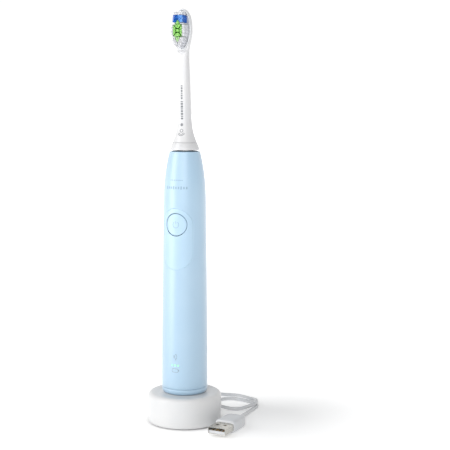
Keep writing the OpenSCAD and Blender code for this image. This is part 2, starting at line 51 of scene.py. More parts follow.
nodes = frame["nodes"]
scene = bpy.context.scene


def addObject(name, data):
    piece = bpy.data.objects.new(name, data)
    scene.collection.objects.link(piece)
    return piece


def circle(count):
    # cosine and sine of equal steps round a circle
    return [(cos(2 * pi * i / count), sin(2 * pi * i / count)) for i in range(count)]


# camera
camera = {"at": (300.8, -642.2, 207.7), "turn": 23.0, "down": 6.3, "roll": 0.25, "lens": 88.26}

lensData = bpy.data.cameras.new("camera")
lensData.lens = camera["lens"]
lensData.sensor_width = 36
lensData.clip_end = 20
cameraObject = addObject("camera", lensData)
cameraObject.location = Vector(camera["at"]) * mm
aim = Euler((radians(90 - camera["down"]), 0, radians(camera["turn"]))).to_matrix()
aim = aim @ Matrix.Rotation(radians(camera["roll"]), 3, "Z")
cameraObject.rotation_euler = aim.to_euler()
scene.camera = cameraObject
scene.view_settings.view_transform = "Standard"
print("camera set")


# cord, one line from the charger through the coil to the plug
cord = {
    "diameter": 2.4,
    "length": 1.0,
    "exitAngle": 66, "exitOut": 29.5, "exitHeight": 4,
    "coilAt": (-18, 42.5), "coilOuter": 19.2, "coilPitch": 2.45, "layerStep": 2.45,
    "coilLow": 1.63, "coilStart": 100, "coilTurns": 9.694, "pointsPerTurn": 16,
}
leadPoints = [
    (13.4, 30.3, 3), (16.4, 32.6, 1.8), (20.6, 34.2, 1.2), (24.6, 35.4, 1.5), (28.4, 36.4, 2.6),
    (31.2, 38.4, 3.6), (32.5, 42.4, 3.9), (32.2, 46.4, 3.9), (31.1, 50, 3.8), (28.6, 54.2, 3.5),
    (25, 58.2, 2.6), (20.6, 62.4, 1.7), (16, 65.6, 1.3), (11, 67.3, 1.2), (5.8, 66.8, 1.2),
    (-0.6, 65, 1.4), (-8, 63.4, 2.8), (-15, 62.2, 3.9)]
tailPoints = [
    (1.6, 45, 1.6), (2.4, 50, 1.3), (4.4, 54.4, 1.2), (8.4, 57.3, 1.2), (13, 58, 1.2),
    (18, 57.2, 1.2), (22.6, 55.6, 1.2), (26.6, 53.8, 1.2), (30.4, 51.2, 1.2), (32.4, 47.4, 1.2),
    (32.9, 42, 1.2), (32.9, 35, 1.2), (33.5, 26, 1.8), (34.8, 15, 3.1), (36, 3.6, 4)]


def coilPoints(c):
    # spirals in on the top layer, steps down at the middle and spirals out below
    perLayer = c["coilTurns"] / 2
    steps = int(c["coilTurns"] * c["pointsPerTurn"])
    points = []
    for i in range(steps + 1):
        turn = c["coilTurns"] * i / steps
        inward = min(turn, c["coilTurns"] - turn)
        radius = c["coilOuter"] - c["coilPitch"] * inward
        drop = min(1, max(0, (turn - perLayer) / 0.35 + 0.5))
        drop = drop * drop * (3 - 2 * drop)
        angle = radians(c["coilStart"] + 360 * turn)
        points.append((c["coilAt"][0] + radius * cos(angle),
                       c["coilAt"][1] + radius * sin(angle),
                       c["coilLow"] + c["layerStep"] * (1 - drop)))
    return points


def buildCord(c):
    exitAngle = radians(c["exitAngle"])
    start = (c["exitOut"] * cos(exitAngle), c["exitOut"] * sin(exitAngle), c["exitHeight"])
    route = [start] + leadPoints + coilPoints(c) + tailPoints
    curve = bpy.data.curves.new("cordLine", "CURVE")
    curve.dimensions = "3D"
    curve.resolution_u = 6
    curve.bevel_depth = 1  # each point's own radius sets the thickness
    curve.bevel_resolution = 4
    curve.use_fill_caps = True
    spline = curve.splines.new("BEZIER")
    spline.bezier_points.add(len(route) - 1)
    for bezier, place in zip(spline.bezier_points, route):
        bezier.co = Vector(place) * mm
        bezier.radius = c["diameter"] / 2 * mm
        bezier.handle_left_type = "AUTO"
        bezier.handle_right_type = "AUTO"
    piece = addObject("cord", curve)
    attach(piece, "charger")
    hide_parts("cord_lead", "cord_coil", "cord_tail")
    return piece, Vector(start) * mm


cordPiece, cordExit = buildCord(cord)
print("cord laid")


# shader groups
def newGroup(name, inputs, outputs):
    tree = bpy.data.node_groups.new(name, "ShaderNodeTree")
    kinds = {"float": "NodeSocketFloat", "color": "NodeSocketColor", "vector": "NodeSocketVector"}
    for label, kind, value in inputs:
        socket = tree.interface.new_socket(name=label, in_out="INPUT", socket_type=kinds[kind])
        if value is not None:
            socket.default_value = value
    for label, kind in outputs:
        tree.interface.new_socket(name=label, in_out="OUTPUT", socket_type=kinds[kind])
    return tree, tree.nodes.new("NodeGroupInput"), tree.nodes.new("NodeGroupOutput")


def link(tree, fromSocket, toSocket):
    tree.links.new(fromSocket, toSocket)


def fill(node, values):
    for label, value in values.items():
        node.inputs[label].default_value = value


def noiseNode(tree, vector, scale, detail):
    node = tree.nodes.new("ShaderNodeTexNoise")
    node.inputs["Detail"].default_value = detail
    link(tree, vector, node.inputs["Vector"])
    if isinstance(scale, (int, float)):
        node.inputs["Scale"].default_value = scale
    else:
        link(tree, scale, node.inputs["Scale"])
    return node


def mapNode(tree, value, low, high, outLow, outHigh):
    node = tree.nodes.new("ShaderNodeMapRange")
    for label, number in (("From Min", low), ("From Max", high), ("To Min", outLow), ("To Max", outHigh)):
        if isinstance(number, (int, float)):
            node.inputs[label].default_value = number
        else:
            link(tree, number, node.inputs[label])
    link(tree, value, node.inputs["Value"])
    return node


def mathNode(tree, operation, first, second):
    node = tree.nodes.new("ShaderNodeMath")
    node.operation = operation
    for socket, value in zip(node.inputs, (first, second)):
        if isinstance(value, (int, float)):
            socket.default_value = value
        else:
            link(tree, value, socket)
    return node


def mixColor(tree, factor, first, second):
    node = tree.nodes.new("ShaderNodeMix")
    node.data_type = "RGBA"
    for socket, value in ((node.inputs[0], factor), (node.inputs[6], first), (node.inputs[7], second)):
        if isinstance(value, (int, float, tuple)):
            socket.default_value = value
        else:
            link(tree, value, socket)
    return node


def makeMouldGroup():
    # tone drifting through a moulding, fine texture of the tool's surface, and a few handling marks
    tree, given, out = newGroup(
        "mouldedSurface",
        [("Vector", "vector", None), ("Base", "color", (0.8, 0.8, 0.8, 1)),
         ("Drift", "color", (0.8, 0.8, 0.8, 1)),
         ("Drift Scale", "float", 60.0), ("Grain Scale", "float", 2500.0),
         ("Roughness", "float", 0.4), ("Marks", "float", 0.06)],
        [("Color", "color"), ("Roughness", "float"), ("Height", "float")])
    vector = given.outputs["Vector"]
    drift = noiseNode(tree, vector, given.outputs["Drift Scale"], 3)
    share = mapNode(tree, drift.outputs["Fac"], 0.35, 0.65, 0, 1)
    tone = mixColor(tree, share.outputs["Result"], given.outputs["Base"], given.outputs["Drift"])
    link(tree, tone.outputs[2], out.inputs["Color"])
    grain = noiseNode(tree, vector, given.outputs["Grain Scale"], 2)
    link(tree, grain.outputs["Fac"], out.inputs["Height"])
    marks = noiseNode(tree, vector, 180, 6)
    smudge = mapNode(tree, marks.outputs["Fac"], 0.5, 0.72, 0, given.outputs["Marks"])
    rough = mathNode(tree, "ADD", given.outputs["Roughness"], smudge.outputs["Result"])
    link(tree, rough.outputs[0], out.inputs["Roughness"])
    return tree


def makeBrushedGroup():
    # drawn metal: long fine lines across one axis with a slight change of tone
    tree, given, out = newGroup(
        "drawnMetal",
        [("Vector", "vector", None), ("Base", "color", (0.7, 0.7, 0.7, 1)),
         ("Shade", "color", (0.5, 0.5, 0.5, 1)),
         ("Line Scale", "float", 900.0), ("Roughness", "float", 0.3)],
        [("Color", "color"), ("Roughness", "float"), ("Height", "float")])
    stretch = tree.nodes.new("ShaderNodeMapping")
    stretch.inputs["Scale"].default_value = (1, 0.04, 1)
    link(tree, given.outputs["Vector"], stretch.inputs["Vector"])
    lines = noiseNode(tree, stretch.outputs["Vector"], given.outputs["Line Scale"], 4)
    tone = mixColor(tree, lines.outputs["Fac"], given.outputs["Base"], given.outputs["Shade"])
    link(tree, tone.outputs[2], out.inputs["Color"])
    spread = mapNode(tree, lines.outputs["Fac"], 0.3, 0.7, -0.06, 0.1)
    rough = mathNode(tree, "ADD", given.outputs["Roughness"], spread.outputs["Result"])
    link(tree, rough.outputs[0], out.inputs["Roughness"])
    link(tree, lines.outputs["Fac"], out.inputs["Height"])
    return tree


def makeWindingGroup():
    # close turns of wire round Z, with painted shade darkening each turn towards the grooves between turns
    tree, given, out = newGroup(
        "woundWire",
        [("Vector", "vector", None), ("Base", "color", (0.7, 0.4, 0.2, 1)),
         ("Gap", "color", (0.2, 0.1, 0.05, 1)),
         ("Turns Per Metre", "float", 3000.0)],
        [("Color", "color"), ("Height", "float")])
    split = tree.nodes.new("ShaderNodeSeparateXYZ")
    link(tree, given.outputs["Vector"], split.inputs[0])
    turns = mathNode(tree, "MULTIPLY", split.outputs["Z"], given.outputs["Turns Per Metre"])
    wave = mathNode(tree, "PINGPONG", turns.outputs[0], 1.0)
    link(tree, wave.outputs[0], out.inputs["Height"])
    tone = mixColor(tree, wave.outputs[0], given.outputs["Gap"], given.outputs["Base"])
    link(tree, tone.outputs[2], out.inputs["Color"])
    return tree


def makeFilamentGroup():
    # nylon that darkens between the tufts with painted shade, and changes tone to one side, which on the blue
    # field is a painted highlight
    tree, given, out = newGroup(
        "filament",
        [("Vector", "vector", None), ("Base", "color", (0.8, 0.8, 0.8, 1)),
         ("Drift", "color", (0.8, 0.8, 0.8, 1)),
         ("Root", "color", (0.5, 0.5, 0.5, 1)), ("Side", "color", (0.8, 0.8, 0.8, 1)),
         ("Axis", "vector", None),
         ("Side From", "float", 0.0), ("Side To", "float", 1.0), ("Tip", "float", -0.011)],
        [("Color", "color"), ("Height", "float")])
    vector = given.outputs["Vector"]
    noise = noiseNode(tree, vector, 900, 2)
    share = mapNode(tree, noise.outputs["Fac"], 0.35, 0.65, 0, 1)
    tone = mixColor(tree, share.outputs["Result"], given.outputs["Base"], given.outputs["Drift"])
    # the Side tone along Axis: on the blue field it is a painted highlight on the right half
    along = tree.nodes.new("ShaderNodeVectorMath")
    along.operation = "DOT_PRODUCT"
    link(tree, vector, along.inputs[0])
    link(tree, given.outputs["Axis"], along.inputs[1])
    aside = mapNode(tree, along.outputs["Value"], given.outputs["Side From"], given.outputs["Side To"], 0, 1)
    tone = mixColor(tree, aside.outputs["Result"], tone.outputs[2], given.outputs["Side"])
    # painted shade: the colour goes over to the Root tone with depth below the filament tips, where shade falls
    # between the tufts
    split = tree.nodes.new("ShaderNodeSeparateXYZ")
    link(tree, vector, split.inputs[0])
    depth = mathNode(tree, "SUBTRACT", split.outputs["Y"], given.outputs["Tip"])
    deep = mapNode(tree, depth.outputs[0], 0.0002, 0.0018, 0, 1)
    tone = mixColor(tree, deep.outputs["Result"], tone.outputs[2], given.outputs["Root"])
    link(tree, tone.outputs[2], out.inputs["Color"])
    link(tree, noise.outputs["Fac"], out.inputs["Height"])
    return tree


mouldGroup = makeMouldGroup()
filamentGroup = makeFilamentGroup()
brushedGroup = makeBrushedGroup()
windingGroup = makeWindingGroup()


def srgb(tone):
    def linear(value):
        value /= 255
        return value / 12.92 if value <= 0.04045 else ((value + 0.055) / 1.055) ** 2.4
    return (*(linear(value) for value in tone), 1)


def startMaterial(name, group, values):
    material = bpy.data.materials.new(name)
    material.use_nodes = True
    tree = material.node_tree
    shader = tree.nodes["Principled BSDF"]
    place = tree.nodes.new("ShaderNodeTexCoord")
    effect = tree.nodes.new("ShaderNodeGroup")
    effect.node_tree = group
    fill(effect, values)
    link(tree, place.outputs["Object"], effect.inputs["Vector"])
    link(tree, effect.outputs["Color"], shader.inputs["Base Color"])
    if "Roughness" in values:
        link(tree, effect.outputs["Roughness"], shader.inputs["Roughness"])
    return material, tree, shader, effect


def addBump(tree, shader, effect, strength, distance):
    bump = tree.nodes.new("ShaderNodeBump")
    fill(bump, {"Strength": strength, "Distance": distance * mm})
    link(tree, effect.outputs["Height"], bump.inputs["Height"])
    link(tree, bump.outputs["Normal"], shader.inputs["Normal"])


def addGlow(tree, shader, effect, strength):
    link(tree, effect.outputs["Color"], shader.inputs["Emission Color"])
    fill(shader, {"Emission Strength": strength})


def moulded(name, base, drift, roughness, driftScale=60, grainScale=2500, bump=0.15, coat=0.0,
            transmission=0.0, emission=0.0, ior=1.5):
    material, tree, shader, effect = startMaterial(name, mouldGroup, {
        "Base": srgb(base), "Drift": srgb(drift), "Drift Scale": driftScale,
        "Grain Scale": grainScale, "Roughness": roughness})
    addBump(tree, shader, effect, bump, 0.02)
    fill(shader, {"Coat Weight": coat, "Coat Roughness": 0.3, "IOR": ior,
                  "Transmission Weight": transmission})
    if emission:
        addGlow(tree, shader, effect, emission)
    return material


def nylon(name, base, drift, root, side, axis, sideFrom, sideTo, emission):
    material, tree, shader, effect = startMaterial(name, filamentGroup, {
        "Base": srgb(base), "Drift": srgb(drift), "Root": srgb(root), "Side": srgb(side), "Axis": axis,
        "Side From": sideFrom, "Side To": sideTo, "Tip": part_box("white_bristles")[0].y})
    addBump(tree, shader, effect, 0.05, 0.02)
    fill(shader, {"Roughness": 0.42, "Subsurface Weight": 0.3, "Subsurface Radius": (0.001, 0.001, 0.001)})
    # painted light: a faint glow in the nylon's colour stands in for light passing through the filaments
    addGlow(tree, shader, effect, emission)
    return material


def metal(name, base, shade, roughness):
    material, tree, shader, effect = startMaterial(name, brushedGroup, {
        "Base": srgb(base), "Shade": srgb(shade), "Roughness": roughness})
    fill(shader, {"Metallic": 1.0})
    addBump(tree, shader, effect, 0.1, 0.01)
    return material


def wound(name, base, grooveShade):
    # the gap colour is painted shade in the grooves between turns
    material, tree, shader, effect = startMaterial(name, windingGroup, {
        "Base": srgb(base), "Gap": srgb(grooveShade)})
    fill(shader, {"Metallic": 0.9, "Roughness": 0.35})
    addBump(tree, shader, effect, 0.6, 0.1)
    return material


finishes = {
    "blue_shell": moulded("blueShell", (158, 189, 212), (161, 191, 213), 0.38, coat=1.0, ior=1.65),
    "blue_soft": moulded("bluePad", (166, 197, 219), (163, 194, 217), 0.45, grainScale=4000, bump=0.3,
                         coat=0.8, ior=1.65),
    "white_shell": moulded("whiteShell", (215, 215, 215), (211, 212, 213), 0.3, coat=0.3),
    "white_plastic": moulded("whitePlastic", (214, 215, 217), (208, 210, 213), 0.5, bump=0.3),
    "white_cord": moulded("cordJacket", (206, 207, 209), (198, 200, 203), 0.38, driftScale=120,
                          coat=0.3),
    "grey_rubber": moulded("greyRubber", (92, 116, 134), (84, 108, 126), 0.7, bump=0.4),
    "black_plastic": moulded("blackPlastic", (34, 35, 38), (44, 45, 48), 0.5),
    "clear_plastic": moulded("clearLens", (120, 235, 140), (140, 245, 160), 0.15, emission=1.2),
    "copper": wound("copperWire", (196, 116, 66), (92, 46, 22)),
    "steel": metal("plugSteel", (206, 204, 198), (182, 180, 174), 0.24),
    "dark_iron": metal("darkIron", (90, 90, 92), (66, 66, 69), 0.5),
    "bronze": metal("bronze", (214, 172, 92), (184, 140, 70), 0.3),
    "circuit": moulded("circuitBoard", (24, 104, 62), (20, 88, 52), 0.4, driftScale=900),
    "battery": moulded("cellWrap", (38, 112, 92), (32, 100, 82), 0.3, coat=0.4),
    # nylon colours are base, drift, root and side; the root colour is painted shade between the tufts
    "white_nylon": nylon("whiteNylon", (246, 246, 248), (238, 239, 242), (222, 224, 229),
                         (236, 237, 241), (1, 0, 0), 0.002, 0.005, 0.03),
    # the blue side colour is a painted highlight on the right half of the blue field
    "blue_nylon": nylon("blueNylon", (10, 108, 202), (18, 116, 212), (44, 104, 190),
                        (128, 186, 242), (1, 0, 0), 0.0, 0.0009, 0.12),
    "green_nylon": nylon("greenNylon", (186, 240, 146), (172, 232, 130), (70, 140, 56),
                         (222, 244, 204), (0, 0, -1), -0.2495, -0.246, 0.14),
    "soft_clear": moulded("softRim", (232, 234, 237), (226, 229, 233), 0.4, transmission=0.1),
}
printGrey = moulded("printGrey", (122, 136, 152), (132, 146, 160), 0.45, driftScale=300)
whiteHead = moulded("whiteHead", (206, 206, 207), (202, 203, 205), 0.3, coat=0.3)
printDark = moulded("printDark", (104, 107, 112), (114, 117, 121), 0.45, driftScale=300)
printSoft = moulded("printSoft", (138, 164, 186), (144, 169, 190), 0.45, driftScale=300)
slotOf = {part["node"]: part["material_slot"] for part in frame["record"]["subparts"]}
for nodeName, nodeObject in nodes.items():
    nodeObject.data.materials.clear()
    nodeObject.data.materials.append(finishes[slotOf[nodeName]])
cordPiece.data.materials.append(finishes["white_cord"])
print("materials made")


def meshFrom(name, bm):
    mesh = bpy.data.meshes.new(name)
    bm.to_mesh(mesh)
    bm.free()
    return mesh


# shared mesh helpers, all in millimetres until the mesh is stored
def storePiece(name, bm, body, slotName, replaced=(), sharpAngle=40, material=None):
    bmesh.ops.remove_doubles(bm, verts=bm.verts, dist=0.0005)
    bmesh.ops.recalc_face_normals(bm, faces=bm.faces)
    for face in bm.faces:
        face.smooth = True
    for edge in bm.edges:
        if len(edge.link_faces) == 2 and edge.calc_face_angle(0) > radians(sharpAngle):
            edge.smooth = False
    bmesh.ops.scale(bm, vec=(mm, mm, mm), verts=bm.verts)
    piece = addObject(name, meshFrom(name, bm))
    piece.data.materials.append(material or finishes[slotName])
    settle(piece, body, replaced)
    return piece


def settle(piece, body, replaced=()):
    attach(piece, body)
    if replaced:
        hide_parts(*replaced)


def arc(centre, radius, start, end, steps):
    points = []
    for i in range(steps + 1):
        angle = radians(start + (end - start) * i / steps)
        points.append((centre[0] + radius * cos(angle), centre[1] + radius * sin(angle)))
    return points


def lathe(profile, steps=128, closed=False):
    bm = bmesh.new()
    rings = []
    for r, z in profile:
        around = circle(steps) if r > 1e-6 else [(0, 0)]
        rings.append([bm.verts.new((r * c, r * n, z)) for c, n in around])
    pairs = list(zip(rings, rings[1:]))
    if closed:
        pairs.append((rings[-1], rings[0]))
    for low, high in pairs:
        for i in range(steps):
            k = (i + 1) % steps
            corners = [low[i % len(low)], low[k % len(low)], high[k % len(high)], high[i % len(high)]]
            corners = list(dict.fromkeys(corners))
            if len(corners) > 2:
                bm.faces.new(corners)
    return bm


def loft(rings, capLow=True, capHigh=True):
    bm = bmesh.new()
    made = [[bm.verts.new(place) for place in ring] for ring in rings]
    for low, high in zip(made, made[1:]):
        for i in range(len(low)):
            k = (i + 1) % len(low)
            bm.faces.new((low[i], low[k], high[k], high[i]))
    if capLow:
        bm.faces.new(list(reversed(made[0])))
    if capHigh:
        bm.faces.new(made[-1])
    return bm


def easeBetween(a, b, c, d, t):
    # smooth value between b and c, with a and d as the neighbours
    return 0.5 * (2 * b + (c - a) * t + (2 * a - 5 * b + 4 * c - d) * t * t
                  + (3 * b - a - 3 * c + d) * t ** 3)


def alongSections(sections, s):
    last = len(sections) - 1
    i = min(last - 1, int(s))
    rows = (sections[max(0, i - 1)], sections[i], sections[i + 1], sections[min(last, i + 2)])
    return [easeBetween(a, b, c, d, s - i) for a, b, c, d in zip(*rows)]


# handle
low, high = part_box("handle_shell")
capLow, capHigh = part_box("bottom_cap")
buttonLow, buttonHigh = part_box("power_button")
handle = {
    "bandZ": low.z / mm, "topZ": high.z / mm, "baseR": high.x / mm,
    "shoulderR": 13.8, "topR": 9.8, "shoulderLen": 36.0, "mouthR": 8.25,
    "padHalfW": 10.4, "padSpan": 18.6, "seam": 0.12, "wall": 1.1,
    "buttonR": (buttonHigh.x - buttonLow.x) / 2 / mm, "buttonGap": 0.4,
    "buttonZ": (buttonHigh.z + buttonLow.z) / 2 / mm,
    "windowTurn": 60, "windowMargin": 2.4,
    "buttonThick": 1.1, "recess": 0.1, "dishDepth": 0.16, "dishR": 5.4,
    "stemR": 1.6, "stemBase": -12.6, "stemEnd": -11.05,
    "padWall": 0.45, "padCollar": 1.8,
}


def handleRadius(z):
    h = handle
    shoulderZ = h["topZ"] - h["shoulderLen"]
    if z < shoulderZ:
        share = max(0, z - h["bandZ"]) / (shoulderZ - h["bandZ"])
        return h["baseR"] - (h["baseR"] - h["shoulderR"]) * share ** 1.3
    share = (z - shoulderZ) / h["shoulderLen"]
    return h["shoulderR"] - (h["shoulderR"] - h["topR"]) * (0.11 * share + 0.89 * share ** 2.5)


def onHandle(turn, z, lift=0.0):
    # place on the handle's outside; turn is in radians from the front, towards +X
    r = handleRadius(z) + lift
    return (r * sin(turn), -r * cos(turn), z)


def padDistance(x, z):
    # distance outside the pad's outline, seen from the front
    near = min(max(z, handle["buttonZ"] - handle["padSpan"]), handle["buttonZ"])
    return hypot(x, z - near) - handle["padHalfW"]


def buttonDistance(x, z):
    return hypot(x, z - handle["buttonZ"]) - handle["buttonR"] - handle["buttonGap"]


def seamDip(distance):
    # how far the surface rounds down towards an edge at that distance
    share = max(0, 1 - abs(distance) / 0.35)
    return handle["seam"] * share * share


def padOutline(offset, count=72):
    h = handle
    r = h["padHalfW"] + offset
    top = arc((0, h["buttonZ"]), r, 0, 180, count // 2)
    bottom = arc((0, h["buttonZ"] - h["padSpan"]), r, 180, 360, count // 2)
    side = 12
    left = [(-r, h["buttonZ"] - h["padSpan"] * i / side) for i in range(1, side)]
    right = [(r, h["buttonZ"] - h["padSpan"] * (1 - i / side)) for i in range(1, side)]
    return top + left + bottom + right


def buttonOutline(offset, count=96):
    r = handle["buttonR"] + handle["buttonGap"] + offset
    return arc((0, handle["buttonZ"]), r, 0, 360 - 360 / count, count - 1)


def frontWindow():
    # points and triangles of the handle's front, in turn and height, fitted to the pad and the button
    h = handle
    reach = radians(h["windowTurn"])
    columns = 48
    lowZ = h["buttonZ"] - h["padSpan"] - h["padHalfW"] - h["windowMargin"]
    highZ = h["buttonZ"] + h["padHalfW"] + h["windowMargin"]
    rows = 44
    flat = []
    edges = []
    border = [(-reach + 2 * reach * i / columns, lowZ) for i in range(columns)]
    border += [(reach, lowZ + (highZ - lowZ) * i / rows) for i in range(rows)]
    border += [(reach - 2 * reach * i / columns, highZ) for i in range(columns)]
    border += [(-reach, highZ - (highZ - lowZ) * i / rows) for i in range(rows)]
    loops = [border]
    for offset in (-0.35, -0.15, -0.02, 0.02, 0.15, 0.35):
        loops.append([(asin(x / handleRadius(z)), z) for x, z in padOutline(offset)])
    for offset in (0, 0.15, 0.35):
        loops.append([(asin(x / handleRadius(z)), z) for x, z in buttonOutline(offset)])
    for loop in loops:
        start = len(flat)
        flat += loop
        edges += [(start + i, start + (i + 1) % len(loop)) for i in range(len(loop))]
    for i in range(1, columns):
        for j in range(1, rows):
            turn = -reach + 2 * reach * i / columns
            z = lowZ + (highZ - lowZ) * j / rows
            x = handleRadius(z) * sin(turn)
            if abs(padDistance(x, z)) > 0.6 and buttonDistance(x, z) > 0.6:
                flat.append((turn, z))
    scale = h["shoulderR"]
    places, _, triangles, _, _, _ = delaunay_2d_cdt(
        [Vector((turn * scale, z)) for turn, z in flat], edges, [], 0, 1e-4)
    return [(p.x / scale, p.y) for p in places], triangles, lowZ, highZ, rows, columns


window, windowTriangles, windowLow, windowHigh, windowRows, windowColumns = frontWindow()


def addWindowFaces(bm, keep):
    made = {}
    for triangle in windowTriangles:
        middle = [sum(window[i][axis] for i in triangle) / 3 for axis in (0, 1)]
        x = handleRadius(middle[1]) * sin(middle[0])
        if not keep(padDistance(x, middle[1]), buttonDistance(x, middle[1])):
            continue
        corners = []
        for i in triangle:
            if i not in made:
                turn, z = window[i]
                side = handleRadius(z) * sin(turn)
                dip = seamDip(padDistance(side, z)) + seamDip(buttonDistance(side, z))
                made[i] = bm.verts.new(onHandle(turn, z, -dip))
            corners.append(made[i])
        bm.faces.new(corners)
    return made


def addWall(piece, thickness):
    solid = piece.modifiers.new("wall", "SOLIDIFY")
    solid.thickness = thickness * mm
    solid.offset = -1
    applyModifiers(piece)


def applyModifiers(piece):
    bpy.context.view_layer.update()
    depsgraph = bpy.context.evaluated_depsgraph_get()
    mesh = bpy.data.meshes.new_from_object(piece.evaluated_get(depsgraph))
    mesh.name = piece.name
    piece.modifiers.clear()
    piece.data = mesh


def buildHandleShell(h):
    bm = bmesh.new()
    addWindowFaces(bm, lambda pad, button: pad > 0.005)
    reach = radians(h["windowTurn"])
    front = [-reach + 2 * reach * i / windowColumns for i in range(windowColumns + 1)]
    backSteps = 48
    back = [reach + (2 * pi - 2 * reach) * i / backSteps for i in range(1, backSteps)]
    lowRows = [h["bandZ"] + 0.3 + (windowLow - h["bandZ"] - 0.3) * i / 30 for i in range(31)]
    midRows = [windowLow + (windowHigh - windowLow) * i / windowRows for i in range(windowRows + 1)]
    edgeR = 0.5
    highRows = [windowHigh + (h["topZ"] - edgeR - windowHigh) * i / 30 for i in range(31)]

    def grid(turns, levels, wrap):
        made = [[bm.verts.new(place(turn, level)) for turn in turns] for level in levels]
        count = len(turns)
        for below, above in zip(made, made[1:]):
            for i in range(count if wrap else count - 1):
                k = (i + 1) % count
                bm.faces.new((below[i], below[k], above[k], above[i]))

    def place(turn, level):
        if isinstance(level, tuple):
            return (level[0] * sin(turn), -level[0] * cos(turn), level[1])
        return onHandle(turn, level)

    foot = [(h["baseR"] - 0.25, h["bandZ"] + 0.02), (h["baseR"] - 0.07, h["bandZ"] + 0.1)]
    topR = handleRadius(h["topZ"] - edgeR)
    rim = arc((topR - edgeR, h["topZ"] - edgeR), edgeR, 15, 90, 5)
    mouth = [(h["mouthR"] + 0.2, h["topZ"]), (h["mouthR"], h["topZ"] - 0.2), (h["mouthR"], h["topZ"] - 3)]
    grid(front + back, foot + lowRows, True)
    grid([front[-1]] + back + [front[0] + 2 * pi], midRows, False)
    grid(front + back, highRows + rim + mouth, True)
    piece = storePiece("handleShell", bm, "handle", "blue_shell", ["handle_shell"])
    addWall(piece, h["wall"])


def buildThumbPad():
    bm = bmesh.new()
    addWindowFaces(bm, lambda pad, button: pad < -0.005 and button > 0)
    rim = [edge for edge in bm.edges if edge.is_boundary
           and all(abs(buttonDistance(v.co.x, v.co.z)) < 0.02 for v in edge.verts)]
    collar = bmesh.ops.extrude_edge_only(bm, edges=rim)
    for part in collar["geom"]:
        if isinstance(part, bmesh.types.BMVert):
            part.co.y += handle["padCollar"]
    piece = storePiece("thumbPad", bm, "handle", "blue_soft", ["thumb_pad"])
    addWall(piece, handle["padWall"])


cap = {"edge": 2.4, "wellR": 4.6, "wellTop": 11.4, "wall": 1.2, "floor": 2.2, "innerR": 10.6,
       "skirtR": 12.5, "skirtUp": 6}


def buildBottomCap(h, c):
    baseZ = capLow.z / mm
    roofZ = baseZ + c["wellTop"] + c["wall"]
    wellOut = c["wellR"] + c["wall"]
    skirtZ = h["bandZ"] + c["skirtUp"]
    profile = [(0, baseZ + c["wellTop"]), (c["wellR"], baseZ + c["wellTop"]), (c["wellR"], baseZ + 0.4),
               (c["wellR"] + 0.4, baseZ), (h["baseR"] - c["edge"] - 2, baseZ)]
    profile += arc((h["baseR"] - c["edge"], baseZ + c["edge"]), c["edge"], -80, 0, 10)
    profile += [(h["baseR"], h["bandZ"] - 0.4), (h["baseR"] - 0.07, h["bandZ"] - 0.12),
                (h["baseR"] - 0.3, h["bandZ"]), (c["skirtR"], h["bandZ"]), (c["skirtR"], skirtZ),
                (c["innerR"], skirtZ), (c["innerR"], baseZ + c["floor"]), (wellOut, baseZ + c["floor"]),
                (wellOut, roofZ), (0, roofZ)]
    bm = lathe(profile)
    storePiece("bottomCap", bm, "handle", "blue_shell", ["bottom_cap"])


def buttonFront(r, x, z):
    # y of the button's dished front, r away from its middle
    dish = handle["dishDepth"] * max(0, 1 - (r / handle["dishR"]) ** 2)
    return handle["recess"] + dish - sqrt(handleRadius(z) ** 2 - x * x)


def buildPowerButton(h):
    bm = bmesh.new()
    sides = 96
    radii = [h["buttonR"] * (i / 14) for i in range(1, 14)]
    radii += [h["buttonR"] - 0.3, h["buttonR"] - 0.12, h["buttonR"]]

    def face(r, x, up):
        z = h["buttonZ"] + up
        rounded = 0.25 * max(0, 1 - (h["buttonR"] - r) / 0.35) ** 2
        return (x, buttonFront(r, x, z) + rounded, z)

    centre = bm.verts.new(face(0, 0, 0))
    rings = [[bm.verts.new(face(r, r * c, r * n)) for c, n in circle(sides)] for r in sorted(set(radii))]
    rings.append([bm.verts.new((v.co.x, v.co.y + h["buttonThick"], v.co.z)) for v in rings[-1]])
    for y in (h["stemBase"], h["stemEnd"]):  # the stem that presses the switch
        rings.append([bm.verts.new((h["stemR"] * c, y, h["buttonZ"] + h["stemR"] * n))
                      for c, n in circle(sides)])
    for i in range(sides):
        k = (i + 1) % sides
        bm.faces.new((centre, rings[0][k], rings[0][i]))
        for inner, outer in zip(rings, rings[1:]):
            bm.faces.new((inner[i], inner[k], outer[k], outer[i]))
    bm.faces.new(list(reversed(rings[-1])))
    storePiece("powerButton", bm, "button", "blue_soft", ["power_button"], 60)


buildHandleShell(handle)
buildThumbPad()
buildBottomCap(handle, cap)
buildPowerButton(handle)
print("handle built")


# flat marks: strips of print laid on a surface
def addStrip(bm, points, width, toSurface, closed=False, proud=0.03, depth=0.05):
    # a band of the given width along points in x and z, from under the surface to just proud of it
    count = len(points)
    rows = []
    for i, (x, z) in enumerate(points):
        before = points[(i - 1) % count] if closed or i > 0 else points[i]
        after = points[(i + 1) % count] if closed or i < count - 1 else points[i]
        dx, dz = after[0] - before[0], after[1] - before[1]
        size = hypot(dx, dz) or 1
        nx, nz = -dz / size * width / 2, dx / size * width / 2
        rows.append([bm.verts.new(toSurface(x + sx * nx, z + sx * nz, level))
                     for sx, level in ((-1, -depth), (-1, proud), (1, proud), (1, -depth))])
    for i in range(count if closed else count - 1):
        first, second = rows[i], rows[(i + 1) % count]
        for a in range(4):
            b = (a + 1) % 4
            bm.faces.new((first[a], first[b], second[b], second[a]))
    if not closed:
        bm.faces.new(rows[0])
        bm.faces.new(list(reversed(rows[-1])))


def frontOfHandle(x, z, lift):
    return onHandle(x / handleRadius(z), z, lift)


def frontOfButton(x, z, lift):
    return (x, buttonFront(hypot(x, z - handle["buttonZ"]), x, z) - lift, z)


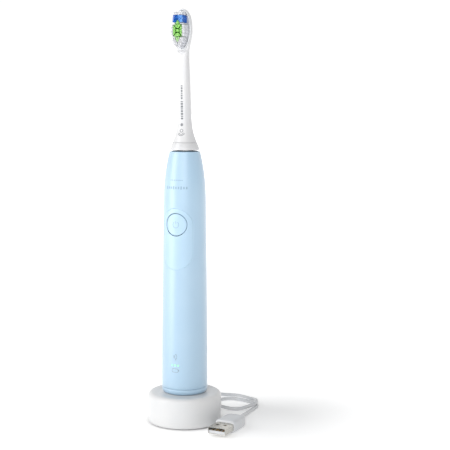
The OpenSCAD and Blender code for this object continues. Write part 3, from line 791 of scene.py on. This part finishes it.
def finePath(points, step=0.35):
    path = []
    for (ax, az), (bx, bz) in zip(points, points[1:]):
        parts = max(1, int(hypot(bx - ax, bz - az) / step))
        path += [(ax + (bx - ax) * i / parts, az + (bz - az) * i / parts) for i in range(parts)]
    return path + [points[-1]]


marks = {
    "powerR": 2.0, "powerWidth": 0.3,
    "blockCount": 9, "blockStep": 1.75, "blockHalf": 0.5, "blockZ": 154.3,
    "dashCount": 7, "dashStep": 1.3, "dashHalf": 0.4, "dashZ": 159.1, "dashTall": 0.7,
    "lampZ": 39.95, "lampStep": 2.1, "headIconZ": 45.7,
    "batteryZ": 36.7, "batteryHalfW": 2.1, "batteryHalfH": 1.1, "batteryCorner": 0.5,
}


def buildPowerMark(m):
    bm = bmesh.new()
    centreZ = handle["buttonZ"]
    ringPath = arc((0, centreZ), m["powerR"], 122, 418, 48)
    addStrip(bm, ringPath, m["powerWidth"], frontOfButton)
    addStrip(bm, finePath([(0, centreZ + 0.4), (0, centreZ + 2.4)]), m["powerWidth"], frontOfButton)
    storePiece("powerMark", bm, "button", "blue_soft", material=printSoft)


def buildHandleMarks(m):
    bm = bmesh.new()
    z, halfW, corner = m["batteryZ"], m["batteryHalfW"], m["batteryCorner"]
    acrossAt, upAt = halfW - corner, m["batteryHalfH"] - corner
    outline = []
    for sideways, upward, start in ((1, 1, 0), (-1, 1, 90), (-1, -1, 180), (1, -1, 270)):
        outline += arc((sideways * acrossAt, z + upward * upAt), corner, start, start + 90, 5)
    addStrip(bm, finePath(outline + outline[:1])[:-1], 0.26, frontOfHandle, True)
    pole = [(halfW + 0.45, z - 0.5), (halfW + 0.45, z + 0.5)]
    addStrip(bm, finePath(pole), 0.4, frontOfHandle)
    z = m["headIconZ"]
    oval = [(0.75 * c + 0.5, z + 1.5 * n) for c, n in circle(36)]
    addStrip(bm, oval, 0.24, frontOfHandle, True)
    for step in (-0.8, 0, 0.8):
        addStrip(bm, finePath([(-1.3, z + step), (-0.45, z + step)]), 0.22, frontOfHandle)
    addStrip(bm, finePath([(0.5, z - 1.5), (0.5, z - 2.4)]), 0.3, frontOfHandle)
    storePiece("handleSymbols", bm, "handle", "grey_rubber", material=printGrey)
    bm = bmesh.new()
    for key in ("block", "dash"):
        for i in range(m[key + "Count"]):
            x = (i - (m[key + "Count"] - 1) / 2) * m[key + "Step"]
            line = [(x - m[key + "Half"], m[key + "Z"]), (x + m[key + "Half"], m[key + "Z"])]
            tall = m["dashTall"] if key == "dash" else 1.5 if i % 3 else 2.0
            addStrip(bm, finePath(line), tall, frontOfHandle)
    storePiece("handleDashes", bm, "handle", "grey_rubber", material=printSoft)


def buildLamps(m):
    bm = bmesh.new()
    outside = handleRadius(m["lampZ"])
    for i in (-1, 0, 1):
        turn = i * m["lampStep"] / outside
        rings = []
        for r, lift in ((0.52, -0.1), (0.5, 0.03), (0.36, 0.09), (0.18, 0.12)):
            rings.append([bm.verts.new(onHandle(turn + r * c / outside, m["lampZ"] + r * n, lift))
                          for c, n in circle(16)])
        for low, high in zip(rings, rings[1:]):
            for k in range(16):
                bm.faces.new((low[k], low[(k + 1) % 16], high[(k + 1) % 16], high[k]))
        bm.faces.new(rings[-1])
        bm.faces.new(list(reversed(rings[0])))
    storePiece("statusLamps", bm, "handle", "clear_plastic")


buildPowerMark(marks)
buildHandleMarks(marks)
buildLamps(marks)
print("handle marked")


# charger
shellLow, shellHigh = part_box("charger_shell")
charger = {"r": shellHigh.x / mm, "low": shellLow.z / mm, "pegTop": shellHigh.z / mm,
           "top": capLow.z / mm - 0.05, "edge": 3.0, "pegR": 4.2, "wall": 1.8}


def buildCharger(c):
    r, top = c["r"], c["top"]
    bore = r - c["wall"]
    inner = c["pegR"] - 1
    profile = [(0, c["pegTop"] - 1), (inner, c["pegTop"] - 1), (inner, top - c["wall"]),
               (bore, top - c["wall"]), (bore, c["low"]), (r - 1.2, c["low"])]
    profile += arc((r - 1.2, c["low"] + 1.2), 1.2, -75, 0, 6)
    profile += [(r, 4), (r, 8), (r, 12), (r, 15)]
    profile += arc((r - c["edge"], top - c["edge"]), c["edge"], 0, 90, 14)
    profile += [(17.2, top), (16.9, top - 0.06), (16.4, top - 0.12), (15.9, top - 0.06), (15.6, top),
                (8, top), (c["pegR"] + 0.5, top)]
    profile += arc((c["pegR"] + 0.3, top + 0.3), 0.3, -90, -180, 4)
    profile += arc((c["pegR"] - 1.2, c["pegTop"] - 1.2), 1.2, 0, 90, 8)
    profile += [(0, c["pegTop"])]
    storePiece("chargerShell", lathe(profile, 160), "charger", "white_shell",
               ["charger_shell"], 50)


buildCharger(charger)


# strain relief, a tapered sleeve with ring grooves
relief = {"flangeR": 2.35, "flangeLen": 1.5, "sleeveR": 2.25, "taper": 0.2,
          "grooves": 3, "grooveAt": 2.1, "grooveStep": 1.2, "grooveDepth": 0.3}


def buildRelief(f):
    base = charger["r"] - 0.5
    tip = cord["exitOut"] + 0.4
    wire = cord["diameter"] / 2
    profile = [(wire * 0.6, base), (f["flangeR"], base), (f["flangeR"], base + f["flangeLen"])]
    for i in range(f["grooves"]):
        start = base + f["grooveAt"] + i * f["grooveStep"]
        r = f["sleeveR"] - f["taper"] * i
        deep = r - f["grooveDepth"]
        profile += [(r, start), (deep, start + 0.25), (deep, start + 0.5), (r - 0.1, start + 0.75)]
    profile += [(wire + 0.28, tip - 0.2), (wire + 0.08, tip), (wire * 0.6, tip)]
    bm = lathe(profile, 48, closed=True)
    turn = radians(cord["exitAngle"])
    for v in bm.verts:
        across, up, out = v.co.x, v.co.y, v.co.z
        v.co = (out * cos(turn) - across * sin(turn),
                out * sin(turn) + across * cos(turn), up + cord["exitHeight"])
    return storePiece("strainRelief", bm, "charger", "white_cord",
                      ["strain_relief"], 50)


strainRelief = buildRelief(relief)
print("charger built")


# brush head
headLow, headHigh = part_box("collar_ring")
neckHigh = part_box("head_neck")[1]
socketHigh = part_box("head_socket")[1]
head = {
    "baseZ": headLow.z / mm, "collarZ": headHigh.z / mm, "topZ": neckHigh.z / mm,
    "baseR": 9.4, "collarR": 7.7,
    "boreR": socketHigh.x / mm + 0.05, "boreTop": socketHigh.z / mm + 0.05, "boreFlare": 5,
    "plateFront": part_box("white_bristles")[1].y / mm, "plateHalfW": 6.05, "plateLow": 26, "plateMiddle": 13.1,
    "rimUp": 13.1, "rimDown": 12.8, "rimFront": 0.8,
}


def buildCollar(h):
    height = h["collarZ"] - h["baseZ"]
    profile = [(h["baseR"] - 1.9, h["baseZ"] + 0.1), (h["baseR"] - 0.5, h["baseZ"])]
    profile += arc((h["baseR"] - 0.35, h["baseZ"] + 0.35), 0.35, -70, 0, 4)
    for i in range(1, 13):
        share = i / 12
        profile.append((h["baseR"] - (h["baseR"] - h["collarR"]) * share ** 1.4,
                        h["baseZ"] + 0.35 + (height - 0.45) * share))
    profile += [(h["collarR"] - 0.18, h["collarZ"] - 0.02), (h["collarR"] - 1.5, h["collarZ"]),
                (h["baseR"] - 2.8, h["collarZ"] - 1)]
    storePiece("headCollar", lathe(profile, 96, closed=True), "brush_head",
               "white_shell", ["collar_ring"], 50, material=whiteHead)


neckSections = [  # distance below the head's top, half width, front, back
    [head["topZ"] - head["collarZ"], 7.7, -7.7, 7.7], [78.9, 5.84, -5.84, 5.84], [73.7, 4.8, -4.8, 4.8],
    [68.4, 4.35, -4.5, 4.25], [58, 4.25, -4.9, 3], [42, 4, -5.1, 1.6], [28.8, 3.7, -5, 0.5],
    [24.7, 4.1, -4.9, 0.1], [19.7, 5.2, -4.9, 0], [16, 5.9, -4.9, 0], [13.1, 6.05, -4.9, 0],
    [8.7, 5.8, -4.9, 0], [4.7, 4.9, -4.9, -0.1], [1.7, 3.2, -4.8, -0.6], [0.4, 1.5, -4.2, -1.5],
    [0, 0.05, -3.0, -2.8]]


def neckRing(s, sides=96):
    below, half, front, back = alongSections(neckSections, s)
    z = head["topZ"] - max(0, below)
    plate = min(1, max(0, (z - head["collarZ"] - 15) / 30))
    square = 2 + 1.4 * plate * (0.25 + 0.75 * min(1, max(0, (z - head["topZ"] + 34) / 12)))
    facet = min(1, max(0, (z - head["collarZ"] - 3) / 14))  # the flattened front grows out of the round base
    middle, deep = (front + back) / 2, (back - front) / 2
    onPlate = min(1, max(0, (z - (head["topZ"] - head["plateLow"] - 1.4)) / 1.8))
    onPlate = onPlate * onPlate * (3 - 2 * onPlate)
    ring = []
    for c, n in circle(sides):
        x = max(0.03, half) * copysign(abs(c) ** (2 / square), c)
        y = middle + deep * copysign(abs(n) ** (2 / square), n)
        flat = front + facet * (0.07 * deep + onPlate * (head["plateFront"] - front - 0.07 * deep))
        if y < flat:
            y = flat + (y - flat) * 0.06
        ring.append((x, y, z))
    return ring


def buildNeck():
    steps = 8 * (len(neckSections) - 1)
    rings = [neckRing(i / 8) for i in range(steps + 1)]
    first = [(x * 0.975, y * 0.975, z) for x, y, z in rings[0]]
    rings[0] = [(x, y, z + 0.12) for x, y, z in rings[0]]
    # the socket sits in this bore, and the shaft in the socket
    levels = ((head["boreR"], head["boreTop"]), (head["boreR"], head["collarZ"] + head["boreFlare"]),
              (head["collarR"] - 1.5, head["collarZ"]))
    bore = [[(r * c, r * n, z) for c, n in circle(len(first))] for r, z in levels]
    bm = loft(bore + [first] + rings)
    storePiece("headNeck", bm, "brush_head", "white_shell", ["head_neck"], 50, material=whiteHead)


def buildRim(h):
    # soft edge standing on the bristle plate, a little in from its outline
    middle = h["topZ"] - h["plateMiddle"]
    front = h["plateFront"] - h["rimFront"]
    rings = []
    for out, y in ((-0.95, h["plateFront"] + 0.3), (-0.3, h["plateFront"] + 0.3), (-0.3, front + 0.35),
                   (-0.36, front + 0.12), (-0.5, front + 0.02), (-0.62, front), (-0.74, front + 0.02),
                   (-0.88, front + 0.12), (-0.95, front + 0.35)):
        ring = []
        for across, up in circle(96):
            half = (h["plateHalfW"] + out) * (1 - 0.1 * max(0, -up))
            reach = (h["rimUp"] if up > 0 else h["rimDown"]) + out
            ring.append((half * across, y, middle + reach * up))
        rings.append(ring)
    bm = loft(rings + [rings[0]], False, False)
    storePiece("softRim", bm, "brush_head", "soft_clear", ["soft_rim"], 60)


def neckFront(x, z, lift):
    # place on the neck's flattened front
    below = head["topZ"] - z
    depths = [section[0] for section in neckSections]
    i = next(k for k in range(1, len(depths)) if depths[k] <= below) - 1
    s = i + (depths[i] - below) / (depths[i] - depths[i + 1])
    for _ in range(4):
        s += (alongSections(neckSections, s)[0] - below) / (depths[i] - depths[i + 1])
    ring = neckRing(s)
    front = [p for p in ring if p[1] < sum(q[1] for q in ring) / len(ring)]
    left = max((p for p in front if p[0] <= x), key=lambda p: p[0])
    right = min((p for p in front if p[0] >= x), key=lambda p: p[0])
    share = (x - left[0]) / max(1e-6, right[0] - left[0])
    return (x, left[1] + (right[1] - left[1]) * share - lift, z)


neckMarks = {"columnZ": 197.4, "blocks": 14, "wideBlocks": 8, "line": 0.36,
             "ringZ": 190.2, "ringR": 0.95, "arcZ": 189.6, "dotZ": 194}


def buildNeckMarks(m):
    # a column of small blocks, a dot, a ring and two arcs
    bm = bmesh.new()
    z = m["columnZ"]
    for i in range(m["blocks"]):
        tall = (1.1, 0.7, 1.3)[i % 3]
        wide = 1.5 if i < m["wideBlocks"] else 1.1
        addStrip(bm, finePath([(0, z), (0, z + tall)], 0.25), wide, neckFront)
        z += tall + (0.5 if i != m["wideBlocks"] - 1 else 1.2)
    ring = [(m["ringR"] * c, m["ringZ"] + m["ringR"] * n) for c, n in circle(24)]
    addStrip(bm, ring, m["line"], neckFront, True)
    for r in (1.7, 2.5):
        addStrip(bm, arc((0, m["arcZ"]), r, 205, 335, 14), m["line"], neckFront)
    addStrip(bm, arc((0, m["dotZ"]), 0.55, 0, 345, 14), 0.85, neckFront)
    storePiece("neckMarks", bm, "brush_head", "grey_rubber", material=printDark)


buildCollar(head)
buildNeck()
buildRim(head)
buildNeckMarks(neckMarks)
print("brush head built")


# bristles: each cell of the field is planted with tapered filaments
bristles = {"length": 7.8, "filamentR": 0.12, "tipR": 0.11, "spacing": 0.22, "lean": 0.012, "uneven": 0.02,
            "seed": 7}
cells = {  # outlines in x and height above the plate's middle, mirrored left to right
    "blue": [[(0.1, 6.8), (1.55, 4.1), (3.4, 4.2), (3.1, 8.5), (0.1, 8.5)]],
    "green": [[(0, 3.35), (1.2, 3.35), (0, 5.7)], [(0, -1.7), (0.85, -1.7), (0.85, -0.05), (0, -0.05)],
              [(0, 0.75), (0.85, 0.75), (2.15, 2.75), (0, 2.75)],
              [(1.6, 0.45), (1.6, -2.05), (2.8, -4.0), (2.8, 2.3)],
              [(0, -2.5), (0.8, -2.5), (2.1, -4.5), (0, -4.5)], [(0, -5.15), (1.35, -5.15), (0, -8.0)]],
    "white": [[(3.15, 2.8), (3.15, -4.6), (4.25, -4.6), (4.65, -3), (4.8, -1.6), (4.7, 0.4),
               (4.5, 1.7), (4.2, 2.8)],
              [(1.75, 3.25), (4.05, 3.25), (3.85, 3.75), (1.6, 3.75)],
              [(0.2, -8.6), (1.9, -5.05), (4.1, -5.05), (3.6, -6.8), (2.9, -8.7), (2.1, -10.4), (0.9, -11.5),
               (0.2, -11.6)],
              [(0, 8.9), (3.0, 8.9), (2.9, 10.1), (2.3, 10.8), (0, 10.9)]],
}


def cellMesh(name, outlines, root, middle):
    bm = bmesh.new()
    for outline in outlines:
        for side in (1, -1):
            bm.faces.new([bm.verts.new(Vector((side * x, root, middle + up)) * mm) for x, up in outline])
    bmesh.ops.recalc_face_normals(bm, faces=bm.faces)
    for face in bm.faces:
        if face.normal.y > 0:
            face.normal_flip()
    return meshFrom(name, bm)


def filamentTree(b):
    # plants one tapered filament at every scattered point of the cells
    tree = bpy.data.node_groups.new("filamentTree", "GeometryNodeTree")
    face = tree.interface
    face.new_socket(name="Geometry", in_out="INPUT", socket_type="NodeSocketGeometry")
    for label, value in (("Length", b["length"] * mm), ("Root Radius", b["filamentR"] * mm),
                         ("Tip Radius", b["tipR"] * mm), ("Spacing", b["spacing"] * mm),
                         ("Lean", b["lean"]), ("Uneven", b["uneven"])):
        face.new_socket(name=label, in_out="INPUT", socket_type="NodeSocketFloat").default_value = value
    face.new_socket(name="Seed", in_out="INPUT", socket_type="NodeSocketInt").default_value = b["seed"]
    face.new_socket(name="Material", in_out="INPUT", socket_type="NodeSocketMaterial")
    face.new_socket(name="Geometry", in_out="OUTPUT", socket_type="NodeSocketGeometry")
    make, join = tree.nodes.new, tree.links.new
    given, out = make("NodeGroupInput"), make("NodeGroupOutput")

    def calc(operation, first, second):
        node = make("ShaderNodeMath")
        node.operation = operation
        for socket, item in zip(node.inputs, (first, second)):
            if isinstance(item, (int, float)):
                socket.default_value = item
            else:
                join(item, socket)
        return node.outputs[0]

    def spread(amount, shift):
        # random value from minus to plus the amount
        node = make("FunctionNodeRandomValue")
        node.data_type = "FLOAT"
        join(calc("MULTIPLY", amount, -1), node.inputs[2])
        join(amount, node.inputs[3])
        join(calc("ADD", given.outputs["Seed"], shift), node.inputs["Seed"])
        return node.outputs[1]

    scatter = make("GeometryNodeDistributePointsOnFaces")
    scatter.distribute_method = "POISSON"
    join(given.outputs["Geometry"], scatter.inputs["Mesh"])
    join(given.outputs["Spacing"], scatter.inputs["Distance Min"])
    scatter.inputs["Density Max"].default_value = 4e7
    join(given.outputs["Seed"], scatter.inputs["Seed"])
    filament = make("GeometryNodeMeshCone")
    filament.inputs["Vertices"].default_value = 6
    join(given.outputs["Tip Radius"], filament.inputs["Radius Top"])
    join(given.outputs["Root Radius"], filament.inputs["Radius Bottom"])
    join(given.outputs["Length"], filament.inputs["Depth"])
    aim = make("ShaderNodeCombineXYZ")
    join(calc("ADD", pi / 2, spread(given.outputs["Lean"], 1)), aim.inputs[0])
    join(spread(given.outputs["Lean"], 2), aim.inputs[1])
    size = make("ShaderNodeCombineXYZ")
    size.inputs[0].default_value = 1
    size.inputs[1].default_value = 1
    join(calc("ADD", 1, spread(given.outputs["Uneven"], 3)), size.inputs[2])
    strands = make("GeometryNodeInstanceOnPoints")
    join(scatter.outputs["Points"], strands.inputs["Points"])
    join(filament.outputs["Mesh"], strands.inputs["Instance"])
    join(aim.outputs[0], strands.inputs["Rotation"])
    join(size.outputs[0], strands.inputs["Scale"])
    whole = make("GeometryNodeRealizeInstances")
    join(strands.outputs[0], whole.inputs[0])
    paint = make("GeometryNodeSetMaterial")
    join(whole.outputs[0], paint.inputs["Geometry"])
    join(given.outputs["Material"], paint.inputs["Material"])
    join(paint.outputs[0], out.inputs[0])
    return tree


def setInput(modifier, label, value):
    for item in modifier.node_group.interface.items_tree:
        if item.item_type == "SOCKET" and item.in_out == "INPUT" and item.name == label:
            modifier[item.identifier] = value


def buildBristles(b):
    tree = filamentTree(b)
    middle = head["topZ"] - head["plateMiddle"]
    for colour, outlines in cells.items():
        name = colour + "Bristles"
        piece = addObject(name, cellMesh(name, outlines, head["plateFront"] + 0.1, middle))
        modifier = piece.modifiers.new("filaments", "NODES")
        modifier.node_group = tree
        setInput(modifier, "Material", finishes[colour + "_nylon"])
        setInput(modifier, "Seed", b["seed"] + len(outlines))
        applyModifiers(piece)
        settle(piece, "brush_head", [colour + "_bristles"])


buildBristles(bristles)
print("bristles planted")


# plug
plug = {"at": (36, 3.6, 4), "turn": -3, "gripW": 13.6, "gripH": 8.0, "gripLen": 18.6,
        "width": 12.0, "height": 4.5, "nose": 11.8, "wall": 0.3, "shellIn": 4.9,
        "holeAcross": 2.6, "holeHalf": 1.1, "holeBack": 7.2}


def toPlug(x, y, z):
    turn = radians(plug["turn"])
    return (plug["at"][0] + x * cos(turn) - y * sin(turn),
            plug["at"][1] + x * sin(turn) + y * cos(turn), plug["at"][2] + z)


def superRing(halfW, halfH, y, square, sides=80):
    ring = []
    for c, n in circle(sides):
        ring.append(toPlug(halfW * copysign(abs(c) ** (2 / square), c), y,
                           halfH * copysign(abs(n) ** (2 / square), n)))
    return ring


def buildGrip(p):
    halfW, halfH = p["gripW"] / 2, p["gripH"] / 2
    front = -p["gripLen"]
    sections = [(p["width"] / 2 + 0.02, p["height"] / 2 + 0.02, front + 4, 9),
                (p["width"] / 2 + 0.02, p["height"] / 2 + 0.02, front + 0.15, 9),
                (p["width"] / 2 + 0.15, p["height"] / 2 + 0.15, front, 8),
                (halfW - 0.6, halfH - 0.6, front, 5.5), (halfW - 0.2, halfH - 0.2, front + 0.2, 5),
                (halfW, halfH, front + 0.8, 4.6), (halfW, halfH, front + 6, 4.6), (halfW, halfH, -5, 4.6),
                (halfW - 0.1, halfH - 0.1, -3, 4.4), (halfW - 0.5, halfH - 0.35, -1.6, 4),
                (halfW - 1.5, halfH - 0.9, -0.6, 3.6), (halfW - 3, halfH - 1.5, -0.15, 3),
                (2.6, 2.3, 0, 2.2), (2.2, 2.1, 0.5, 2), (1.95, 1.95, 1.6, 2), (1.75, 1.75, 2.6, 2),
                (1.5, 1.5, 2.7, 2)]
    rings = []
    for s in range(4 * (len(sections) - 1) + 1):
        i = min(len(sections) - 2, s // 4)
        t = s / 4 - i
        a, b = sections[i], sections[i + 1]
        rings.append(superRing(*(u + (v - u) * t for u, v in zip(a, b))))
    return storePiece("plugGrip", loft(rings), "charger", "white_plastic",
                      ["usb_grip"], 50)


def buildPlugShell(p):
    front = -p["gripLen"] - p["nose"]
    back = -p["gripLen"] + p["shellIn"]
    w, h, t = p["width"] / 2, p["height"] / 2, p["wall"]
    stations = [(w - t, h - t, back), (w, h, back), (w, h, front + 0.5), (w - 0.06, h - 0.06, front + 0.12),
                (w - 0.15, h - 0.15, front), (w - t, h - t, front + 0.1)]
    stations.append((w - t, h - t, back))
    bm = loft([superRing(a, b, y, 14) for a, b, y in stations], False, False)
    piece = storePiece("plugShell", bm, "charger", "steel", ["usb_shell"], 45)
    for x in (-p["holeAcross"], p["holeAcross"]):
        cutter = bmesh.new()
        for level in (-4, 4):
            for sx, sy in ((-1, -1), (1, -1), (1, 1), (-1, 1)):
                corner = toPlug(x + sx * p["holeHalf"], front + p["holeBack"] + sy, level)
                cutter.verts.new(Vector(corner) * mm)
        cutter.verts.ensure_lookup_table()
        v = cutter.verts
        for quad in ((3, 2, 1, 0), (4, 5, 6, 7), (0, 1, 5, 4), (1, 2, 6, 5), (2, 3, 7, 6), (3, 0, 4, 7)):
            cutter.faces.new([v[i] for i in quad])
        tool = addObject("holeCutter", meshFrom("holeCutter", cutter))
        hole = piece.modifiers.new("hole", "BOOLEAN")
        hole.operation = "DIFFERENCE"
        hole.solver = "EXACT"
        hole.object = tool
        applyModifiers(piece)
        bpy.data.objects.remove(tool)
    return piece


plugGrip = buildGrip(plug)
plugShell = buildPlugShell(plug)
print("plug built")


# floor and lights
studio = {  # distances in metres, glows as strengths; the lower glow round shadeAt and near the middle is painted shadow
    "floorReach": 20.0, "ambient": 0.5, "backdrop": 1.05,
    "shadeAt": (0.045, 0.025, 0), "shadeFrom": 0.025, "shadeTo": 0.095, "shadeGlow": 0.2, "floorGlow": 0.52,
    "farFrom": 0.25, "farTo": 1.0, "farGlow": 0.45, "paintedContactShadowFrom": 0.0235, "paintedContactShadowTo": 0.03,
}
lamps = [  # name, place, aim height, width, height, power
    ("key", (-0.25, -0.25, 0.24), 0.15, 0.2, 0.5, 0.85),
    ("fill", (0.45, -1.38, 0.75), 0.12, 1.2, 1.2, 7.3),
]


def distanceNode(tree, centre):
    place = tree.nodes.new("ShaderNodeTexCoord")
    away = tree.nodes.new("ShaderNodeVectorMath")
    away.operation = "DISTANCE"
    link(tree, place.outputs["Object"], away.inputs[0])
    away.inputs[1].default_value = centre
    return away.outputs["Value"]


def buildFloor(st):
    mesh = bpy.data.meshes.new("floor")
    r = st["floorReach"]
    mesh.from_pydata([(-r, -r, 0), (r, -r, 0), (r, r, 0), (-r, r, 0)], [], [(0, 1, 2, 3)])
    floor = addObject("floor", mesh)
    material = bpy.data.materials.new("floorWhite")
    material.use_nodes = True
    shader = material.node_tree.nodes["Principled BSDF"]
    fill(shader, {"Base Color": (0.93, 0.93, 0.93, 1), "Roughness": 0.9, "Specular IOR Level": 0.1,
                  "Emission Color": (1, 1, 1, 1)})
    tree = material.node_tree
    centre = (0, 0, 0)
    # painted shadow: the floor's glow is lower round shadeAt, to the right of the charger where its shadow
    # falls
    near = mapNode(tree, distanceNode(tree, st["shadeAt"]), st["shadeFrom"], st["shadeTo"],
                   st["shadeGlow"], st["floorGlow"])
    far = mapNode(tree, distanceNode(tree, centre), st["farFrom"], st["farTo"], 0, st["farGlow"])
    # painted contact shadow: the glow drops to a tenth in a ring round the charger's foot
    paintedContactShadow = mapNode(tree, distanceNode(tree, centre), st["paintedContactShadowFrom"], st["paintedContactShadowTo"], 0.1, 1)
    glow = mathNode(tree, "ADD", near.outputs["Result"], far.outputs["Result"])
    glow = mathNode(tree, "MULTIPLY", glow.outputs[0], paintedContactShadow.outputs["Result"])
    link(tree, glow.outputs[0], shader.inputs["Emission Strength"])
    mesh.materials.append(material)


def buildLights(st):
    for name, place, aimZ, width, height, power in lamps:
        data = bpy.data.lights.new(name, "AREA")
        data.shape = "RECTANGLE"
        data.size = width
        data.size_y = height
        data.energy = power
        lamp = addObject(name, data)
        lamp.location = place
        lamp.rotation_euler = (Vector((0, 0, aimZ)) - Vector(place)).to_track_quat("-Z", "Y").to_euler()
    world = bpy.data.worlds.new("studio")
    world.use_nodes = True
    tree = world.node_tree
    ray = tree.nodes.new("ShaderNodeLightPath")
    seen = mathNode(tree, "MAXIMUM", ray.outputs["Is Camera Ray"], ray.outputs["Is Glossy Ray"])
    strength = mapNode(tree, seen.outputs[0], 0, 1, st["ambient"], st["backdrop"])
    link(tree, strength.outputs["Result"], tree.nodes["Background"].inputs["Strength"])
    tree.nodes["Background"].inputs["Color"].default_value = (1, 1, 1, 1)
    scene.world = world


buildFloor(studio)
buildLights(studio)
print("stage lit")

bpy.context.view_layer.update()
